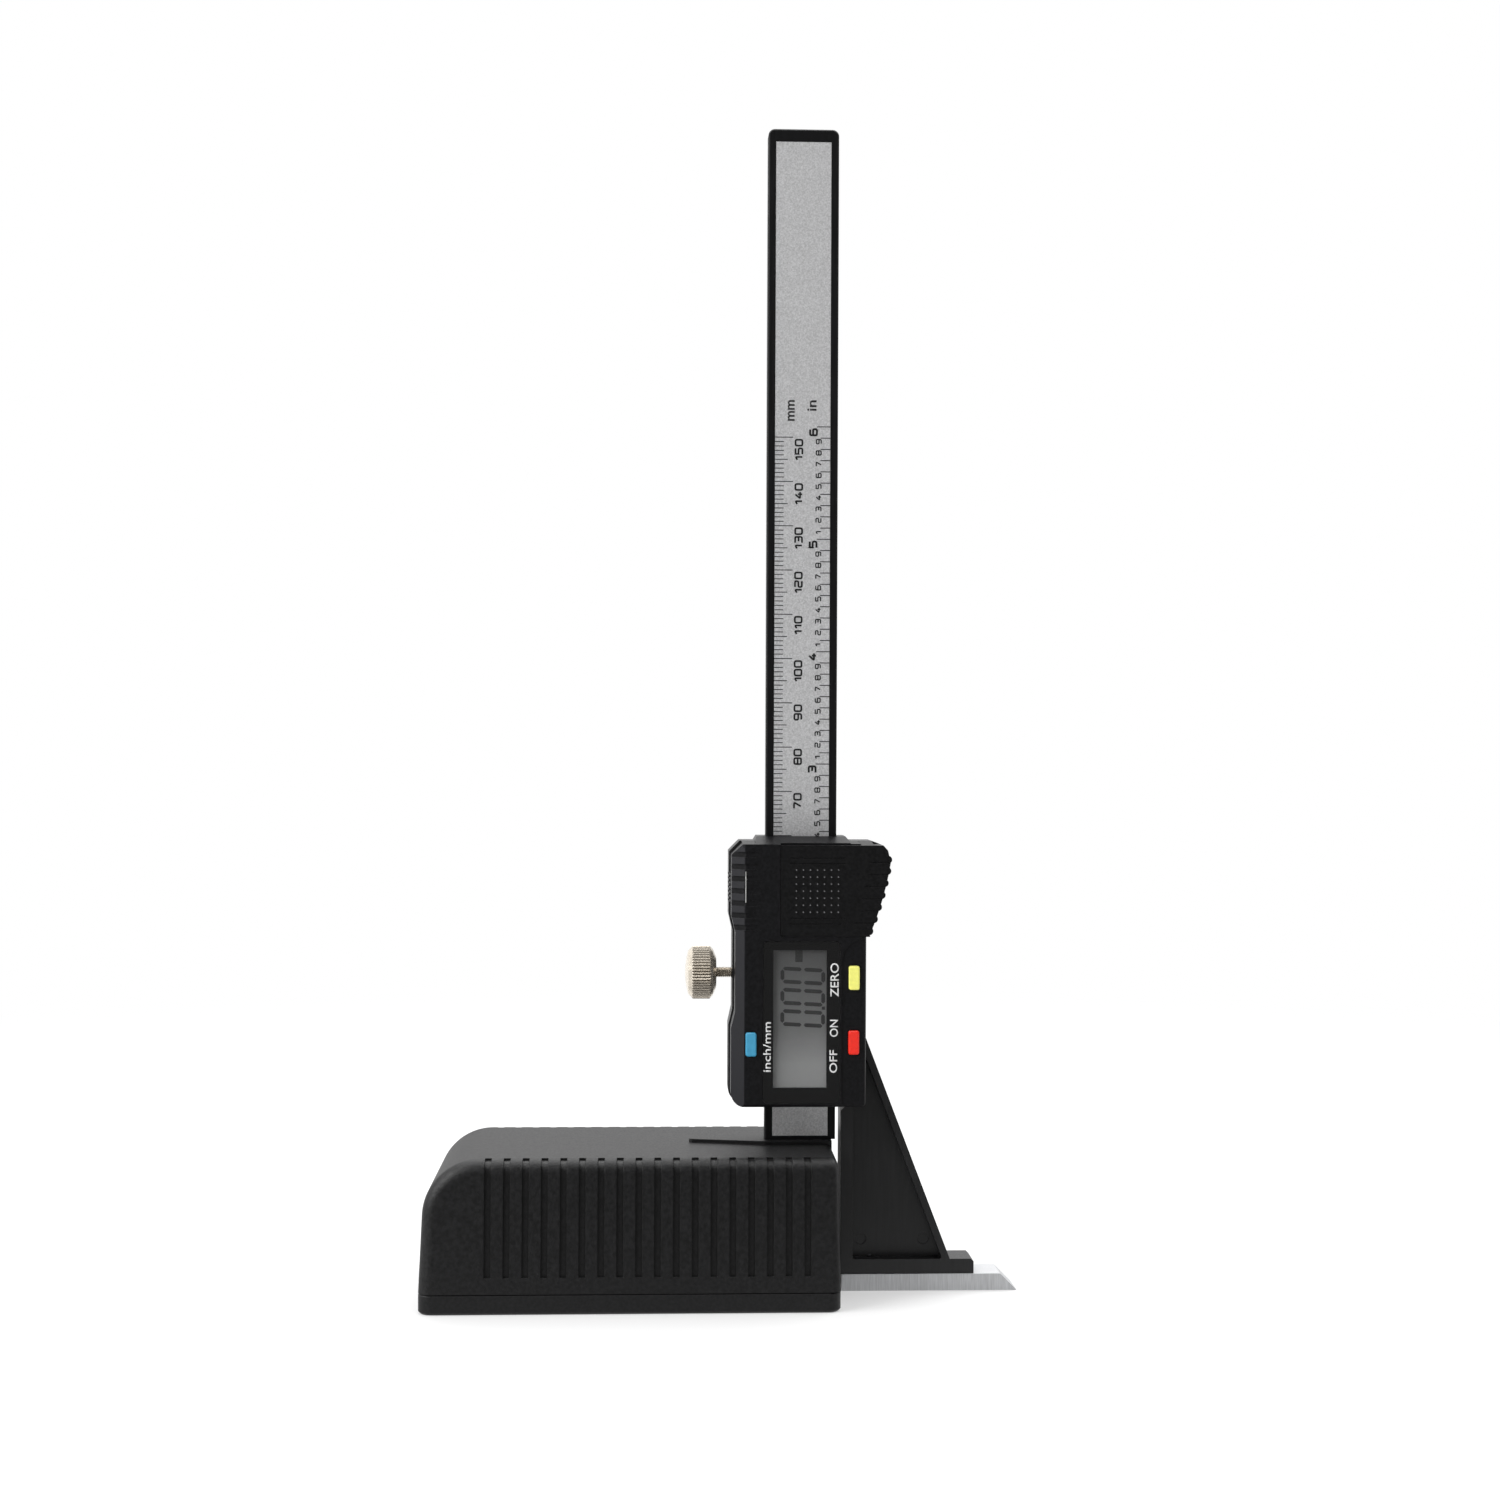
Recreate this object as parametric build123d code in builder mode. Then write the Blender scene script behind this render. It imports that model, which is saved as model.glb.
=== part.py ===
from build123d import *

import os
from math import atan2, cos, radians, tan

# Digital height gauge: a plastic caliper head and beam standing in a moulded base,
# with a chisel-ended scriber blade on a ribbed bracket.
# Millimetres. +X to the right (the blade's end), +Y to the back, +Z up.
# The origin is on the surface it stands on, below the middle of the beam.

os.makedirs("parts", exist_ok=True)

# ---------------------------------------------------------------- driving dimensions

# fits
running_clearance = 0.1       # slider on the beam, buttons in the housing
seat_clearance = 0.05         # parts that are fixed in a pocket
end_clearance = 0.3           # blind ends, and covers over what they hold
screw_head_clearance = 0.1

# base
base_length = 91.5            # left end to right end, at the foot
base_depth = 47.0             # front to back, at the foot
base_height = 33.0            # standing surface to the flat top
base_end_from_beam = 7.8      # beam centre line to the base's right end
plate_thickness = 4.4
plate_chamfer = 0.5
seam_chamfer = 0.35           # plate's top edge, for the line below the cover
cover_wall = 2.2
side_draft = 2.3              # degrees
end_draft = 1.4               # degrees, at the beam's end
nose_radius = 12.5            # round of the end away from the beam
edge_radius = 3.0             # long top edges and the corners seen from above
end_radius = 1.8              # edges of the end face beside the beam
groove_count = 18
groove_pitch = 4.07
groove_width = 1.45
groove_depth = 0.5
groove_end_margin = 6.6       # base's right end to the last groove
groove_foot = 7.9             # height of the lower ends of the grooves
groove_reach = 4.2            # from the base's side in over the top edge
inner_rib_count = 3
inner_rib_pitch = 18.3
inner_rib_start = 22.9        # base's left end to the first inner rib
inner_rib_thickness = 1.2
inner_rib_drop = 7.0
boss_diameter = 6.6
boss_inset_x = 7.6            # base's end to a boss's axis
boss_inset_y = 7.2
boss_pilot_diameter = 2.2
boss_pilot_depth = 14.0
lip_height = 1.3
lip_thickness = 1.2
magnet_diameter = 12.0
magnet_thickness = 3.0
magnet_inset_x = 20.0
magnet_inset_y = 12.0
base_screw_head = 5.4
base_screw_shank = 2.1
base_screw_length = 12.0
countersunk_sink = 0.2        # screw heads below the face they are let into

# pad under the beam, on top of the base
pad_height = 0.8
pad_length = 25.0             # from the beam's centre line to the pad's point
pad_half_width = 4.4
pad_tip_half_width = 1.0
pad_tip_radius = 0.9
pad_end_inset = 0.75          # from the base's right end, inside the end face's lean

# beam
beam_width = 16.0
beam_thickness = 4.0
beam_corner = 1.5
beam_edge_chamfer = 0.3
beam_end_margin = 11.2        # beam's top above the slider at full travel
tongue_width = 9.0
socket_wall = 2.0
pin_diameter = 3.0
pin_depths = (21.0, 11.0)     # below the base's top
label_side_margin = 1.75
label_top_margin = 2.9
label_bottom_margin = 0.8     # above the pad
label_thickness = 0.25
stator_thickness = 0.7

# slider
slider_gap = 8.6              # pad to the slider at the zero reading
travel = 150.0
head_height = 58.4
head_beyond_left = 7.9        # beam's edge to the housing's left side
head_beyond_right = 6.1       # beam's edge to the housing's right side
frame_beyond_left = 0.4       # frame's left side beyond the housing's
front_face = 11.0             # beam's middle plane to the front
back_face = 5.5               # beam's middle plane to the back
board_gap = 0.35              # beam's face to the circuit board
frame_rise = 0.5              # frame's top above the front housing's
rear_chamfer = 0.8
corner_chamfer = 2.4          # top left corner
corner_radius_low_left = 3.0
corner_radius_low_right = 1.0
collar_beyond = 2.0           # beam's edge to the collar's top edge
collar_flare = 0.6
collar_rise = 1.0

# thumb rest: a toothed, leaning edge at the slider's top right
tooth_count = 7
tooth_pitch = 2.69
tooth_straight = 0.45         # share of a tooth above its round
tooth_bulge = 0.45
tooth_start = 1.3             # slider's top to the start of the first tooth
thumb_start = 4.7             # beyond the head's right side, where the first tooth starts
thumb_top = 5.33              # and at the notch below it
thumb_lean = 0.16             # inwards for each millimetre down from that notch
thumb_curve = 0.0078          # inwards for each square millimetre down
shoulder_start = 1.7          # beyond the head's right side, at the very top
shoulder_end = 3.7
thumb_toe = 0.8
thumb_toe_drop = 1.0
score_width = 0.3             # fine lines across the battery cover, one from each tooth
score_depth = 0.12
score_length = 4.6

# lock screw's relief in the slider's left side
relief_depth = 0.85
relief_below = 11.6           # from the lock screw's axis
relief_above = 9.8
relief_slope = 3.6

# housing
front_wall = 1.6
side_wall = 1.4
front_chamfer_across = 2.8
front_chamfer_deep = 2.2
right_edge_radius = 1.0
housing_boss_diameter = 4.0
grip_count = 7                # shallow notches down the left bevel
grip_pitch = 2.7
grip_width = 1.2
grip_depth = 0.35
grip_run = 3.8                # how far they run out onto the front
grip_top = 2.9                # slider's top to the first notch's lower side
port_drop = 10.05             # slider's top to the middle of the data port's ribs
port_slot_drop = 9.45
port_slot_length = 7.1
port_slot_width = 0.5
port_slot_depth = 0.6
port_slot_inset = 3.15        # housing's left side to the slot's middle
port_rib_count = 7
port_rib_pitch = 1.0
port_rib_gap = 0.5
port_rib_depth = 0.3
panel_depth = 0.2             # sunk field round the two right-hand buttons
panel_radius = 5.0
panel_gap = 0.4               # lens to the sunk field

# battery cover and cell
cell_diameter = 11.6
cell_thickness = 5.4
cell_chamfer = 0.4
cell_from_right = 11.8        # head's right side to the cell's axis
cover_from_right = 19.1       # head's right side to the cover's left edge
cover_top_gap = 0.2           # below the housing's top
cover_margin = 0.85           # rail's edge to the cover's edge
cover_plate = 1.5
cover_corner = 0.8
cover_cap = 1.2               # the cover's solid end starts this far inside the head's side
cover_wall_gap = 1.25         # housing's wall under the cover
rail_beyond_cell = 2.4        # cell's edge to a rail's middle
rail_neck = 1.0
rail_foot = 2.2
rail_foot_thickness = 0.8
rail_inset = 0.6              # cover's left edge to a rail's end
pip_rows = 7
pip_pitch = 1.56
pip_width = 0.7               # across the corners of its foot
pip_height = 0.2
pip_flank = 45                # degrees
pip_field_shift = 0.8         # pips' middle to the right of the cell's axis
field_line_length = 12.5
field_line_width = 0.2
field_line_heights = (6.1, 7.3)
contact_thickness = 0.25
contact_width = 4.0
contact_length = 8.0

# display
lens_from_left = 7.0          # head's left side to the lens
lens_from_right = 5.8
lens_foot_margin = 0.9        # above the slider's bottom
lens_gap = 1.0                # lens to the battery cover
lens_thickness = 1.0
lens_corner = 1.2
window_from_left = 2.3        # lens's left edge to the opening's
window_from_right = 3.0
window_from_foot = 3.4
window_from_head = 2.0
lcd_overlap = 2.4             # display behind the opening's edges
lcd_overlap_head = 1.4
lcd_thickness = 2.1
zebra_width = 1.6
board_thickness = 1.0

# buttons: caps in the front, on dome switches
button_width = 2.4
button_length = 5.3
button_proud = 0.5
button_travel = 0.4
button_corner = 0.5
button_chamfer = 0.25
button_flange = 0.8
button_flange_beyond = 0.7
button_stem_diameter = 2.0
zero_from_right = 2.75        # head's right side to the button's middle
zero_share = 0.76             # of the way up from the slider's bottom to the battery cover
power_from_right = 2.8
power_share = 0.381
units_from_left = 4.35
units_share = 0.371
switch_width = 2.6
switch_length = 3.0
switch_thickness = 1.0
switch_plunger = 0.35
switch_plunger_diameter = 1.3

# gib and lock
gib_thickness = 1.05
gib_width = 3.6
gib_end_wall = 1.3
lock_below_cover = 8.9        # battery cover's lower edge to the lock screw's axis
lock_thread_diameter = 2.45
lock_tip_gap = 0.4            # pad to gib with the lock slack
lock_pad_length = 1.3
lock_stem_showing = 4.0       # between the housing's relief and the knob
knob_diameter = 12.0
knob_length = 7.0
knob_neck = 7.2
knob_back_bevel = 1.5
knob_front_bevel = 1.1
knob_dome = 0.7
knob_teeth = 54
knob_knurl_depth = 0.33
nut_thickness = 2.0

# housing screws
screw_head = 4.0
screw_head_height = 1.6
screw_head_sink = 2.0
screw_body = 1.9
screw_bite = 4.0              # into the housing's boss
screw_pilot_spare = 1.0
screw_from_left = 3.3
screw_from_right = 3.0
screw_from_right_high = 3.7
screw_from_foot = 4.5
screw_from_top = 3.9

# bracket and blade
bracket_gap = 1.1             # beam's edge to the bracket
bracket_flange = 2.8
bracket_half_depth = 4.2
bracket_overlap = 4.0         # let into the frame
bracket_corner = 0.5
bracket_lead = 1.8            # bevel at the top of the flat side
web_thickness = 2.4
slope_flange = 1.6
slope_beyond = 0.5            # slope's top beyond the head's right side
slope_rise = 14.8             # slope's top above the slider's bottom
slope_foot = 33.9             # beam's centre line to the slope's foot
foot_length = 5.4             # slope's foot to the foot's end
foot_height = 3.3
foot_chamfer = 0.6
ejector_diameter = 2.6
ejector_depth = 0.25
ejector_inset = 2.0           # from the web's edges
blade_thickness = 3.7
blade_half_depth = 4.5
blade_inset = 0.3             # bracket's flat side to the blade's end
blade_beyond_foot = 9.7
blade_lift = 0.05             # above the standing surface at the zero reading
blade_screw_inset = 6.9       # from the bracket's flat side
blade_screw_from_end = 8.3    # from the foot's end
blade_screw_head = 5.0
blade_screw_diameter = 2.5
blade_screw_length = 7.0

# ---------------------------------------------------------------- worked out from them

base_right = base_end_from_beam
base_left = base_right - base_length
half_depth = base_depth / 2
half_beam = beam_width / 2
half_beam_thickness = beam_thickness / 2
board_seat = half_beam_thickness + board_gap
board_front = board_seat + board_thickness
channel_side = half_beam + running_clearance
channel_back = half_beam_thickness + running_clearance
gib_outer = half_beam + seat_clearance + gib_thickness
gib_wall = gib_outer + seat_clearance
head_left = half_beam + head_beyond_left
head_right = half_beam + head_beyond_right
frame_left = head_left + frame_beyond_left
inner_left = head_left - relief_depth - side_wall

pad_top = base_height + pad_height
slider_bottom = pad_top + slider_gap
slider_top = slider_bottom + head_height
frame_top = slider_top + frame_rise
beam_top = slider_top + travel + beam_end_margin

rail_offset = cell_diameter / 2 + rail_beyond_cell
cover_left = cover_from_right - head_right
cover_high = slider_top - cover_top_gap
cover_low = cover_high - 2 * (rail_offset + rail_foot / 2 + cover_margin)
cell_x = head_right - cell_from_right
cell_z = (cover_low + cover_high) / 2
recess_face = front_face - cover_plate - seat_clearance
housing_step = head_right - cover_cap - running_clearance
lock_z = cover_low - lock_below_cover
nut_x = -(gib_wall + frame_left) / 2
nut_across = 2 * (board_seat - running_clearance)

lens_left = lens_from_left - head_left
lens_right = head_right - lens_from_right
lens_foot = slider_bottom + lens_foot_margin
lens_head = cover_low - lens_gap
lens_middle = ((lens_left + lens_right) / 2, (lens_foot + lens_head) / 2)
window_left = lens_left + window_from_left
window_right = lens_right - window_from_right
window_foot = lens_foot + window_from_foot
window_head = lens_head - window_from_head

screw_reach = back_face - end_clearance - screw_head_height + board_front + screw_bite
screw_places = (
    (screw_from_left - head_left, slider_bottom + screw_from_foot),
    (head_right - screw_from_right, slider_bottom + screw_from_foot),
    (screw_from_left - head_left, slider_top - screw_from_top),
    (head_right - screw_from_right_high, cell_z),
)
button_field = cover_low - slider_bottom
button_places = {
    "button_zero": (head_right - zero_from_right, slider_bottom + zero_share * button_field),
    "button_power": (head_right - power_from_right, slider_bottom + power_share * button_field),
    "button_units": (units_from_left - head_left, slider_bottom + units_share * button_field),
}

bracket_inner = half_beam + bracket_gap
slope_top_x = head_right + slope_beyond
slope_top = slider_bottom + slope_rise
foot_end = slope_foot + foot_length
web_floor = blade_lift + blade_thickness + foot_height
blade_reach = foot_end + blade_beyond_foot
blade_screw_places = (bracket_inner + blade_screw_inset, foot_end - blade_screw_from_end)


def plane_at(y):
    """A drawing plane facing the front, at depth y: its x is X and its y is Z."""
    return Plane.XZ.offset(-y)


def on_plane(sketch, y):
    """A front view drawn on XY, stood up at depth y."""
    return plane_at(y) * sketch


def save(builder, name):
    """Label a finished piece and write its STEP file."""
    builder.part.label = name
    export_step(builder.part, f"parts/{name}.step")


def countersunk_screw(head, shank, length):
    """A countersunk screw on the Z axis: head's flat at z = 0, shank upwards."""
    with BuildPart() as screw:
        with BuildSketch(Plane.XZ):
            with BuildLine():
                Polyline(
                    (0, 0),
                    (head / 2, 0),
                    (shank / 2, (head - shank) / 2),
                    (shank / 2, length),
                    (0, length),
                    close=True,
                )
            make_face()
        revolve(axis=Axis.Z)
    return screw.part


def countersunk_hole(head, shank, length):
    """The same screw grown by its clearance, with its head's hole carried on outwards."""
    grown = head + 2 * screw_head_clearance
    with BuildPart() as hole:
        add(countersunk_screw(grown, shank + 2 * screw_head_clearance, length))
        with BuildSketch():
            Circle(grown / 2)
        extrude(amount=-2 * countersunk_sink)
    return hole.part


# ---------------------------------------------------------------- base

def cover_form(inset, rounded=True):
    """The drafted outer form of the base cover, moved inwards by inset."""
    foot = plate_thickness
    top = base_height - inset
    rise = top - foot
    left = base_left + inset
    right = base_right - inset
    side = half_depth - inset
    lean = rise * tan(radians(side_draft))
    with BuildPart() as form:
        with BuildSketch(Plane.XZ):
            with BuildLine():
                Polyline(
                    (left, foot),
                    (right, foot),
                    (right - rise * tan(radians(end_draft)), top),
                    (left + lean, top),
                    close=True,
                )
            make_face()
        extrude(amount=base_depth, both=True)
        nose = form.edges().filter_by(Axis.Y).group_by(Axis.Z)[-1].sort_by(Axis.X)[0]
        fillet(nose, nose_radius - inset)
        with BuildSketch(Plane.YZ):
            with BuildLine():
                Polyline(
                    (-side, foot),
                    (side, foot),
                    (side - lean, top),
                    (-side + lean, top),
                    close=True,
                )
            make_face()
        extrude(amount=base_length, both=True, mode=Mode.INTERSECT)
        if rounded:
            for flank in (form.faces().sort_by(Axis.Y)[0], form.faces().sort_by(Axis.Y)[-1]):
                outline = flank.edges().group_by(Axis.Z)[1:]
                long_edges = [edge for group in outline for edge in group
                              if edge.center().X < right - 1.5 * end_radius]
                fillet(long_edges, max(edge_radius - inset, end_clearance))
            end_face = form.faces().sort_by(Axis.X)[-1]
            rim = [edge for edge in end_face.edges() if edge.center().Z > foot + seat_clearance]
            fillet(rim, max(end_radius - inset, end_clearance))
    return form.part


boss_places = [
    (x, y)
    for x in (base_left + boss_inset_x, base_right - boss_inset_x)
    for y in (-half_depth + boss_inset_y, half_depth - boss_inset_y)
]
magnet_places = [
    (x, y)
    for x in (base_left + magnet_inset_x, base_right - magnet_inset_x)
    for y in (-magnet_inset_y, magnet_inset_y)
]
pin_places = [(0, base_height - depth) for depth in pin_depths]
inner_rib_places = [(base_left + inner_rib_start + i * inner_rib_pitch, 0)
                    for i in range(inner_rib_count)]
socket_half = tongue_width / 2 + seat_clearance + socket_wall
socket_depth_half = half_beam_thickness + seat_clearance + socket_wall

with BuildPart() as cover_cavity:
    add(cover_form(cover_wall, rounded=False))
    with BuildSketch(Plane.XY.offset(plate_thickness)):
        with Locations(*boss_places):
            Circle(boss_diameter / 2)
    extrude(amount=base_height, mode=Mode.SUBTRACT)
    with BuildSketch(Plane.XY.offset(plate_thickness + end_clearance)):
        with Locations(((base_right - socket_half) / 2, 0)):
            Rectangle(base_right + socket_half, 2 * socket_depth_half)
    extrude(amount=base_height, mode=Mode.SUBTRACT)
    with BuildSketch(Plane.XY.offset(base_height - cover_wall - inner_rib_drop)):
        with Locations(*inner_rib_places):
            Rectangle(inner_rib_thickness, base_depth)
    extrude(amount=base_height, mode=Mode.SUBTRACT)

with BuildPart() as groove_cutter:
    last_groove = base_right - groove_end_margin - groove_width / 2
    with BuildSketch(Plane.XY.offset(groove_foot)):
        for side in (-half_depth, half_depth):
            with Locations(*[(last_groove - i * groove_pitch, side)
                             for i in range(groove_count)]):
                Rectangle(groove_width, 2 * groove_reach)
    extrude(amount=base_height)
    add(cover_form(groove_depth), mode=Mode.SUBTRACT)

with BuildPart() as base_cover:
    add(cover_form(0))
    with BuildSketch(Plane.XY.offset(base_height - cover_wall)):
        with BuildLine():
            Polyline(
                (base_right - pad_end_inset, -pad_half_width),
                (base_right - pad_end_inset, pad_half_width),
                (-half_beam, pad_half_width),
                (-pad_length, pad_tip_half_width),
                (-pad_length, -pad_tip_half_width),
                (-half_beam, -pad_half_width),
                close=True,
            )
        make_face()
        fillet(vertices().group_by(Axis.X)[0], pad_tip_radius)
    extrude(amount=pad_height + cover_wall)
    add(cover_cavity.part, mode=Mode.SUBTRACT)
    add(groove_cutter.part, mode=Mode.SUBTRACT)
    with BuildSketch(Plane.XY.offset(plate_thickness)):
        Rectangle(tongue_width + 2 * seat_clearance, beam_thickness + 2 * seat_clearance)
    extrude(amount=base_height, mode=Mode.SUBTRACT)
    with BuildSketch(Plane.XY.offset(plate_thickness)):
        with Locations(*boss_places):
            Circle(boss_pilot_diameter / 2)
    extrude(amount=boss_pilot_depth, mode=Mode.SUBTRACT)
    with BuildSketch(Plane.XZ):
        with Locations(*pin_places):
            Circle(pin_diameter / 2 + seat_clearance)
    extrude(amount=2 * socket_depth_half, both=True, mode=Mode.SUBTRACT)
save(base_cover, "base_cover")

lip_outer = cover_wall + running_clearance
lip_inner = lip_outer + lip_thickness
with BuildPart() as base_plate:
    with BuildSketch():
        with Locations(((base_left + base_right) / 2, 0)):
            RectangleRounded(base_length, base_depth, edge_radius)
    extrude(amount=plate_thickness)
    chamfer(base_plate.faces().sort_by(Axis.Z)[0].edges(), plate_chamfer)
    chamfer(base_plate.faces().sort_by(Axis.Z)[-1].edges(), seam_chamfer)
    # lip that locates the cover, open round the bosses and the beam's socket
    with BuildSketch(Plane.XY.offset(plate_thickness)):
        with Locations(((base_left + base_right) / 2, 0)):
            RectangleRounded(base_length - 2 * lip_outer, base_depth - 2 * lip_outer,
                             edge_radius - cover_wall + end_clearance)
            Rectangle(base_length - 2 * lip_inner, base_depth - 2 * lip_inner,
                      mode=Mode.SUBTRACT)
        with Locations(*boss_places):
            Circle(boss_diameter / 2 + end_clearance, mode=Mode.SUBTRACT)
        with Locations((base_right - cover_wall, 0)):
            Rectangle(2 * lip_inner, 2 * socket_depth_half + 2 * end_clearance,
                      mode=Mode.SUBTRACT)
    extrude(amount=lip_height)
    with BuildSketch(Plane.XY.offset(plate_thickness)):
        with Locations(*magnet_places):
            Circle(magnet_diameter / 2 + seat_clearance)
    extrude(amount=-magnet_thickness, mode=Mode.SUBTRACT)
    for x, y in boss_places:
        add(countersunk_hole(base_screw_head, base_screw_shank, base_screw_length)
            .moved(Location((x, y, countersunk_sink))), mode=Mode.SUBTRACT)
save(base_plate, "base_plate")

with BuildPart() as base_magnets:
    with BuildSketch(Plane.XY.offset(plate_thickness - magnet_thickness)):
        with Locations(*magnet_places):
            Circle(magnet_diameter / 2)
    extrude(amount=magnet_thickness)
save(base_magnets, "base_magnets")

with BuildPart() as base_screws:
    for x, y in boss_places:
        add(countersunk_screw(base_screw_head, base_screw_shank, base_screw_length)
            .moved(Location((x, y, countersunk_sink))))
save(base_screws, "base_screws")

# ---------------------------------------------------------------- beam

tongue_foot = plate_thickness + end_clearance
label_low = pad_top + label_bottom_margin
label_high = beam_top - label_top_margin
label_middle = (0, (label_low + label_high) / 2)
label_width = beam_width - 2 * label_side_margin
label_length = label_high - label_low
pocket_depth = label_thickness + stator_thickness + seat_clearance

with BuildPart() as beam:
    with BuildSketch(Plane.XZ):
        with Locations((0, (pad_top + beam_top) / 2)):
            Rectangle(beam_width, beam_top - pad_top)
        fillet(vertices().group_by(Axis.Y)[-1], beam_corner)
    extrude(amount=half_beam_thickness, both=True)
    chamfer(beam.edges().filter_by(Axis.Z), beam_edge_chamfer)
    with BuildSketch(Plane.XZ):
        with Locations((0, (tongue_foot + pad_top) / 2)):
            Rectangle(tongue_width, pad_top - tongue_foot)
    extrude(amount=half_beam_thickness, both=True)
    with BuildSketch(plane_at(-half_beam_thickness)):
        with Locations(label_middle):
            Rectangle(label_width + 2 * seat_clearance, label_length + 2 * seat_clearance)
    extrude(amount=-pocket_depth, mode=Mode.SUBTRACT)
    with BuildSketch(Plane.XZ):
        with Locations(*pin_places):
            Circle(pin_diameter / 2 + seat_clearance)
    extrude(amount=beam_thickness, both=True, mode=Mode.SUBTRACT)
save(beam, "beam")

with BuildPart() as stator_strip:
    with BuildSketch(plane_at(-half_beam_thickness + pocket_depth)):
        with Locations(label_middle):
            Rectangle(label_width, label_length)
    extrude(amount=stator_thickness)
save(stator_strip, "stator_strip")

with BuildPart() as scale_label:
    with BuildSketch(plane_at(-half_beam_thickness + pocket_depth - stator_thickness)):
        with Locations(label_middle):
            Rectangle(label_width, label_length)
    extrude(amount=label_thickness)
save(scale_label, "scale_label")

with BuildPart() as beam_pins:
    with BuildSketch(Plane.XZ):
        with Locations(*pin_places):
            Circle(pin_diameter / 2)
    extrude(amount=socket_depth_half, both=True)
save(beam_pins, "beam_pins")

# ---------------------------------------------------------------- slider frame

def left_side(left, top):
    """The slider's left side from the top down, stepped in around the lock screw."""
    return [
        (-left + corner_chamfer, top),
        (-left, top - corner_chamfer),
        (-left, lock_z + relief_above + relief_slope),
        (-left + relief_depth, lock_z + relief_above),
        (-left + relief_depth, lock_z - relief_below + relief_slope),
        (-left, lock_z - relief_below),
        (-left, slider_bottom),
    ]


def thumb_notch(tooth):
    """The notch below one of the thumb rest's teeth, counted from 1 down the leaning edge."""
    below = (tooth - 1) * tooth_pitch
    reach = head_right + thumb_top - below * (thumb_lean + thumb_curve * below)
    return reach, slider_top - tooth_start - tooth * tooth_pitch


def head_outline(left, top):
    """Front view of the head: stepped left side, and the toothed thumb rest on the right."""
    with BuildSketch() as outline:
        with BuildLine():
            Polyline(*left_side(left, top), (head_right, slider_bottom),
                     (head_right, cover_low - thumb_toe_drop),
                     (head_right + thumb_toe, cover_low),
                     thumb_notch(tooth_count))
            notch = (head_right + thumb_start, slider_top - tooth_start)
            Polyline((-left + corner_chamfer, top), (head_right + shoulder_start, top),
                     (head_right + shoulder_end, cover_high), notch)
            for tooth in range(1, tooth_count + 1):
                below = thumb_notch(tooth)
                waist = (notch[0] + tooth_straight * (below[0] - notch[0]),
                         notch[1] + tooth_straight * (below[1] - notch[1]))
                bump = ((waist[0] + below[0]) / 2 + tooth_bulge, (waist[1] + below[1]) / 2)
                Line(notch, waist)
                ThreePointArc(waist, bump, below)
                notch = below
        make_face()
        lowest = outline.vertices().group_by(Axis.Y)[0].sort_by(Axis.X)
        fillet(lowest[0], corner_radius_low_left)
    return outline.sketch


slope_angle = atan2(slope_foot - slope_top_x, slope_top - web_floor)
slope_across = slope_flange / cos(slope_angle)
web_left = bracket_inner + bracket_flange
bracket_top = slider_bottom + bracket_overlap

with BuildPart() as bracket:
    # outline: flat side, foot with a bevelled end, and the long slope
    with BuildSketch(plane_at(bracket_half_depth)):
        with BuildLine():
            Polyline(
                (bracket_inner, web_floor - foot_height),
                (foot_end, web_floor - foot_height),
                (foot_end, web_floor - foot_chamfer),
                (foot_end - foot_chamfer, web_floor),
                (slope_foot, web_floor),
                (slope_top_x, slope_top),
                (head_right - slope_beyond, slope_top),
                (head_right - slope_beyond, bracket_top),
                (bracket_inner + bracket_lead, bracket_top),
                (bracket_inner + bracket_lead, slider_bottom),
                (bracket_inner, slider_bottom - bracket_lead),
                close=True,
            )
        make_face()
    extrude(amount=2 * bracket_half_depth)
    # both faces sunk to the web, leaving the flanges
    for face_y in (-web_thickness / 2, bracket_half_depth):
        with BuildSketch(plane_at(face_y)):
            with BuildLine():
                Polyline(
                    (web_left, web_floor),
                    (slope_foot - slope_across, web_floor),
                    (slope_top_x - slope_across, slope_top),
                    (web_left, slope_top),
                    close=True,
                )
            make_face()
            fillet(vertices().group_by(Axis.Y)[0], bracket_corner)
        extrude(amount=bracket_half_depth - web_thickness / 2, mode=Mode.SUBTRACT)
    # shallow rounds left by the mould's ejector pins
    with BuildSketch(plane_at(-web_thickness / 2)):
        with Locations((web_left + ejector_inset, web_floor + 2 * ejector_inset),
                       (slope_foot - slope_across - 2 * ejector_inset,
                        web_floor + 2 * ejector_inset)):
            Circle(ejector_diameter / 2)
    extrude(amount=-ejector_depth, mode=Mode.SUBTRACT)
    # room for the front housing
    with BuildSketch(plane_at(-board_seat)):
        with Locations((head_right + running_clearance, slider_bottom - running_clearance)):
            Rectangle(head_height, head_height, align=(Align.MAX, Align.MIN))
    extrude(amount=front_face, mode=Mode.SUBTRACT)
    # holes for the blade's screws
    with BuildSketch(Plane.XY):
        with Locations(*[(x, 0) for x in blade_screw_places]):
            Circle(blade_screw_diameter / 2 + seat_clearance)
    extrude(amount=blade_screw_length + end_clearance, mode=Mode.SUBTRACT)

# collar round the beam at the top
collar_half = half_beam + collar_beyond
with BuildSketch() as collar_outline:
    with BuildLine():
        Polyline(
            (-collar_half - collar_flare, slider_top - side_wall / 2),
            (collar_half + collar_flare, slider_top - side_wall / 2),
            (collar_half + collar_flare, frame_top),
            (collar_half, frame_top + collar_rise),
            (-collar_half, frame_top + collar_rise),
            (-collar_half - collar_flare, frame_top),
            close=True,
        )
    make_face()

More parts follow.
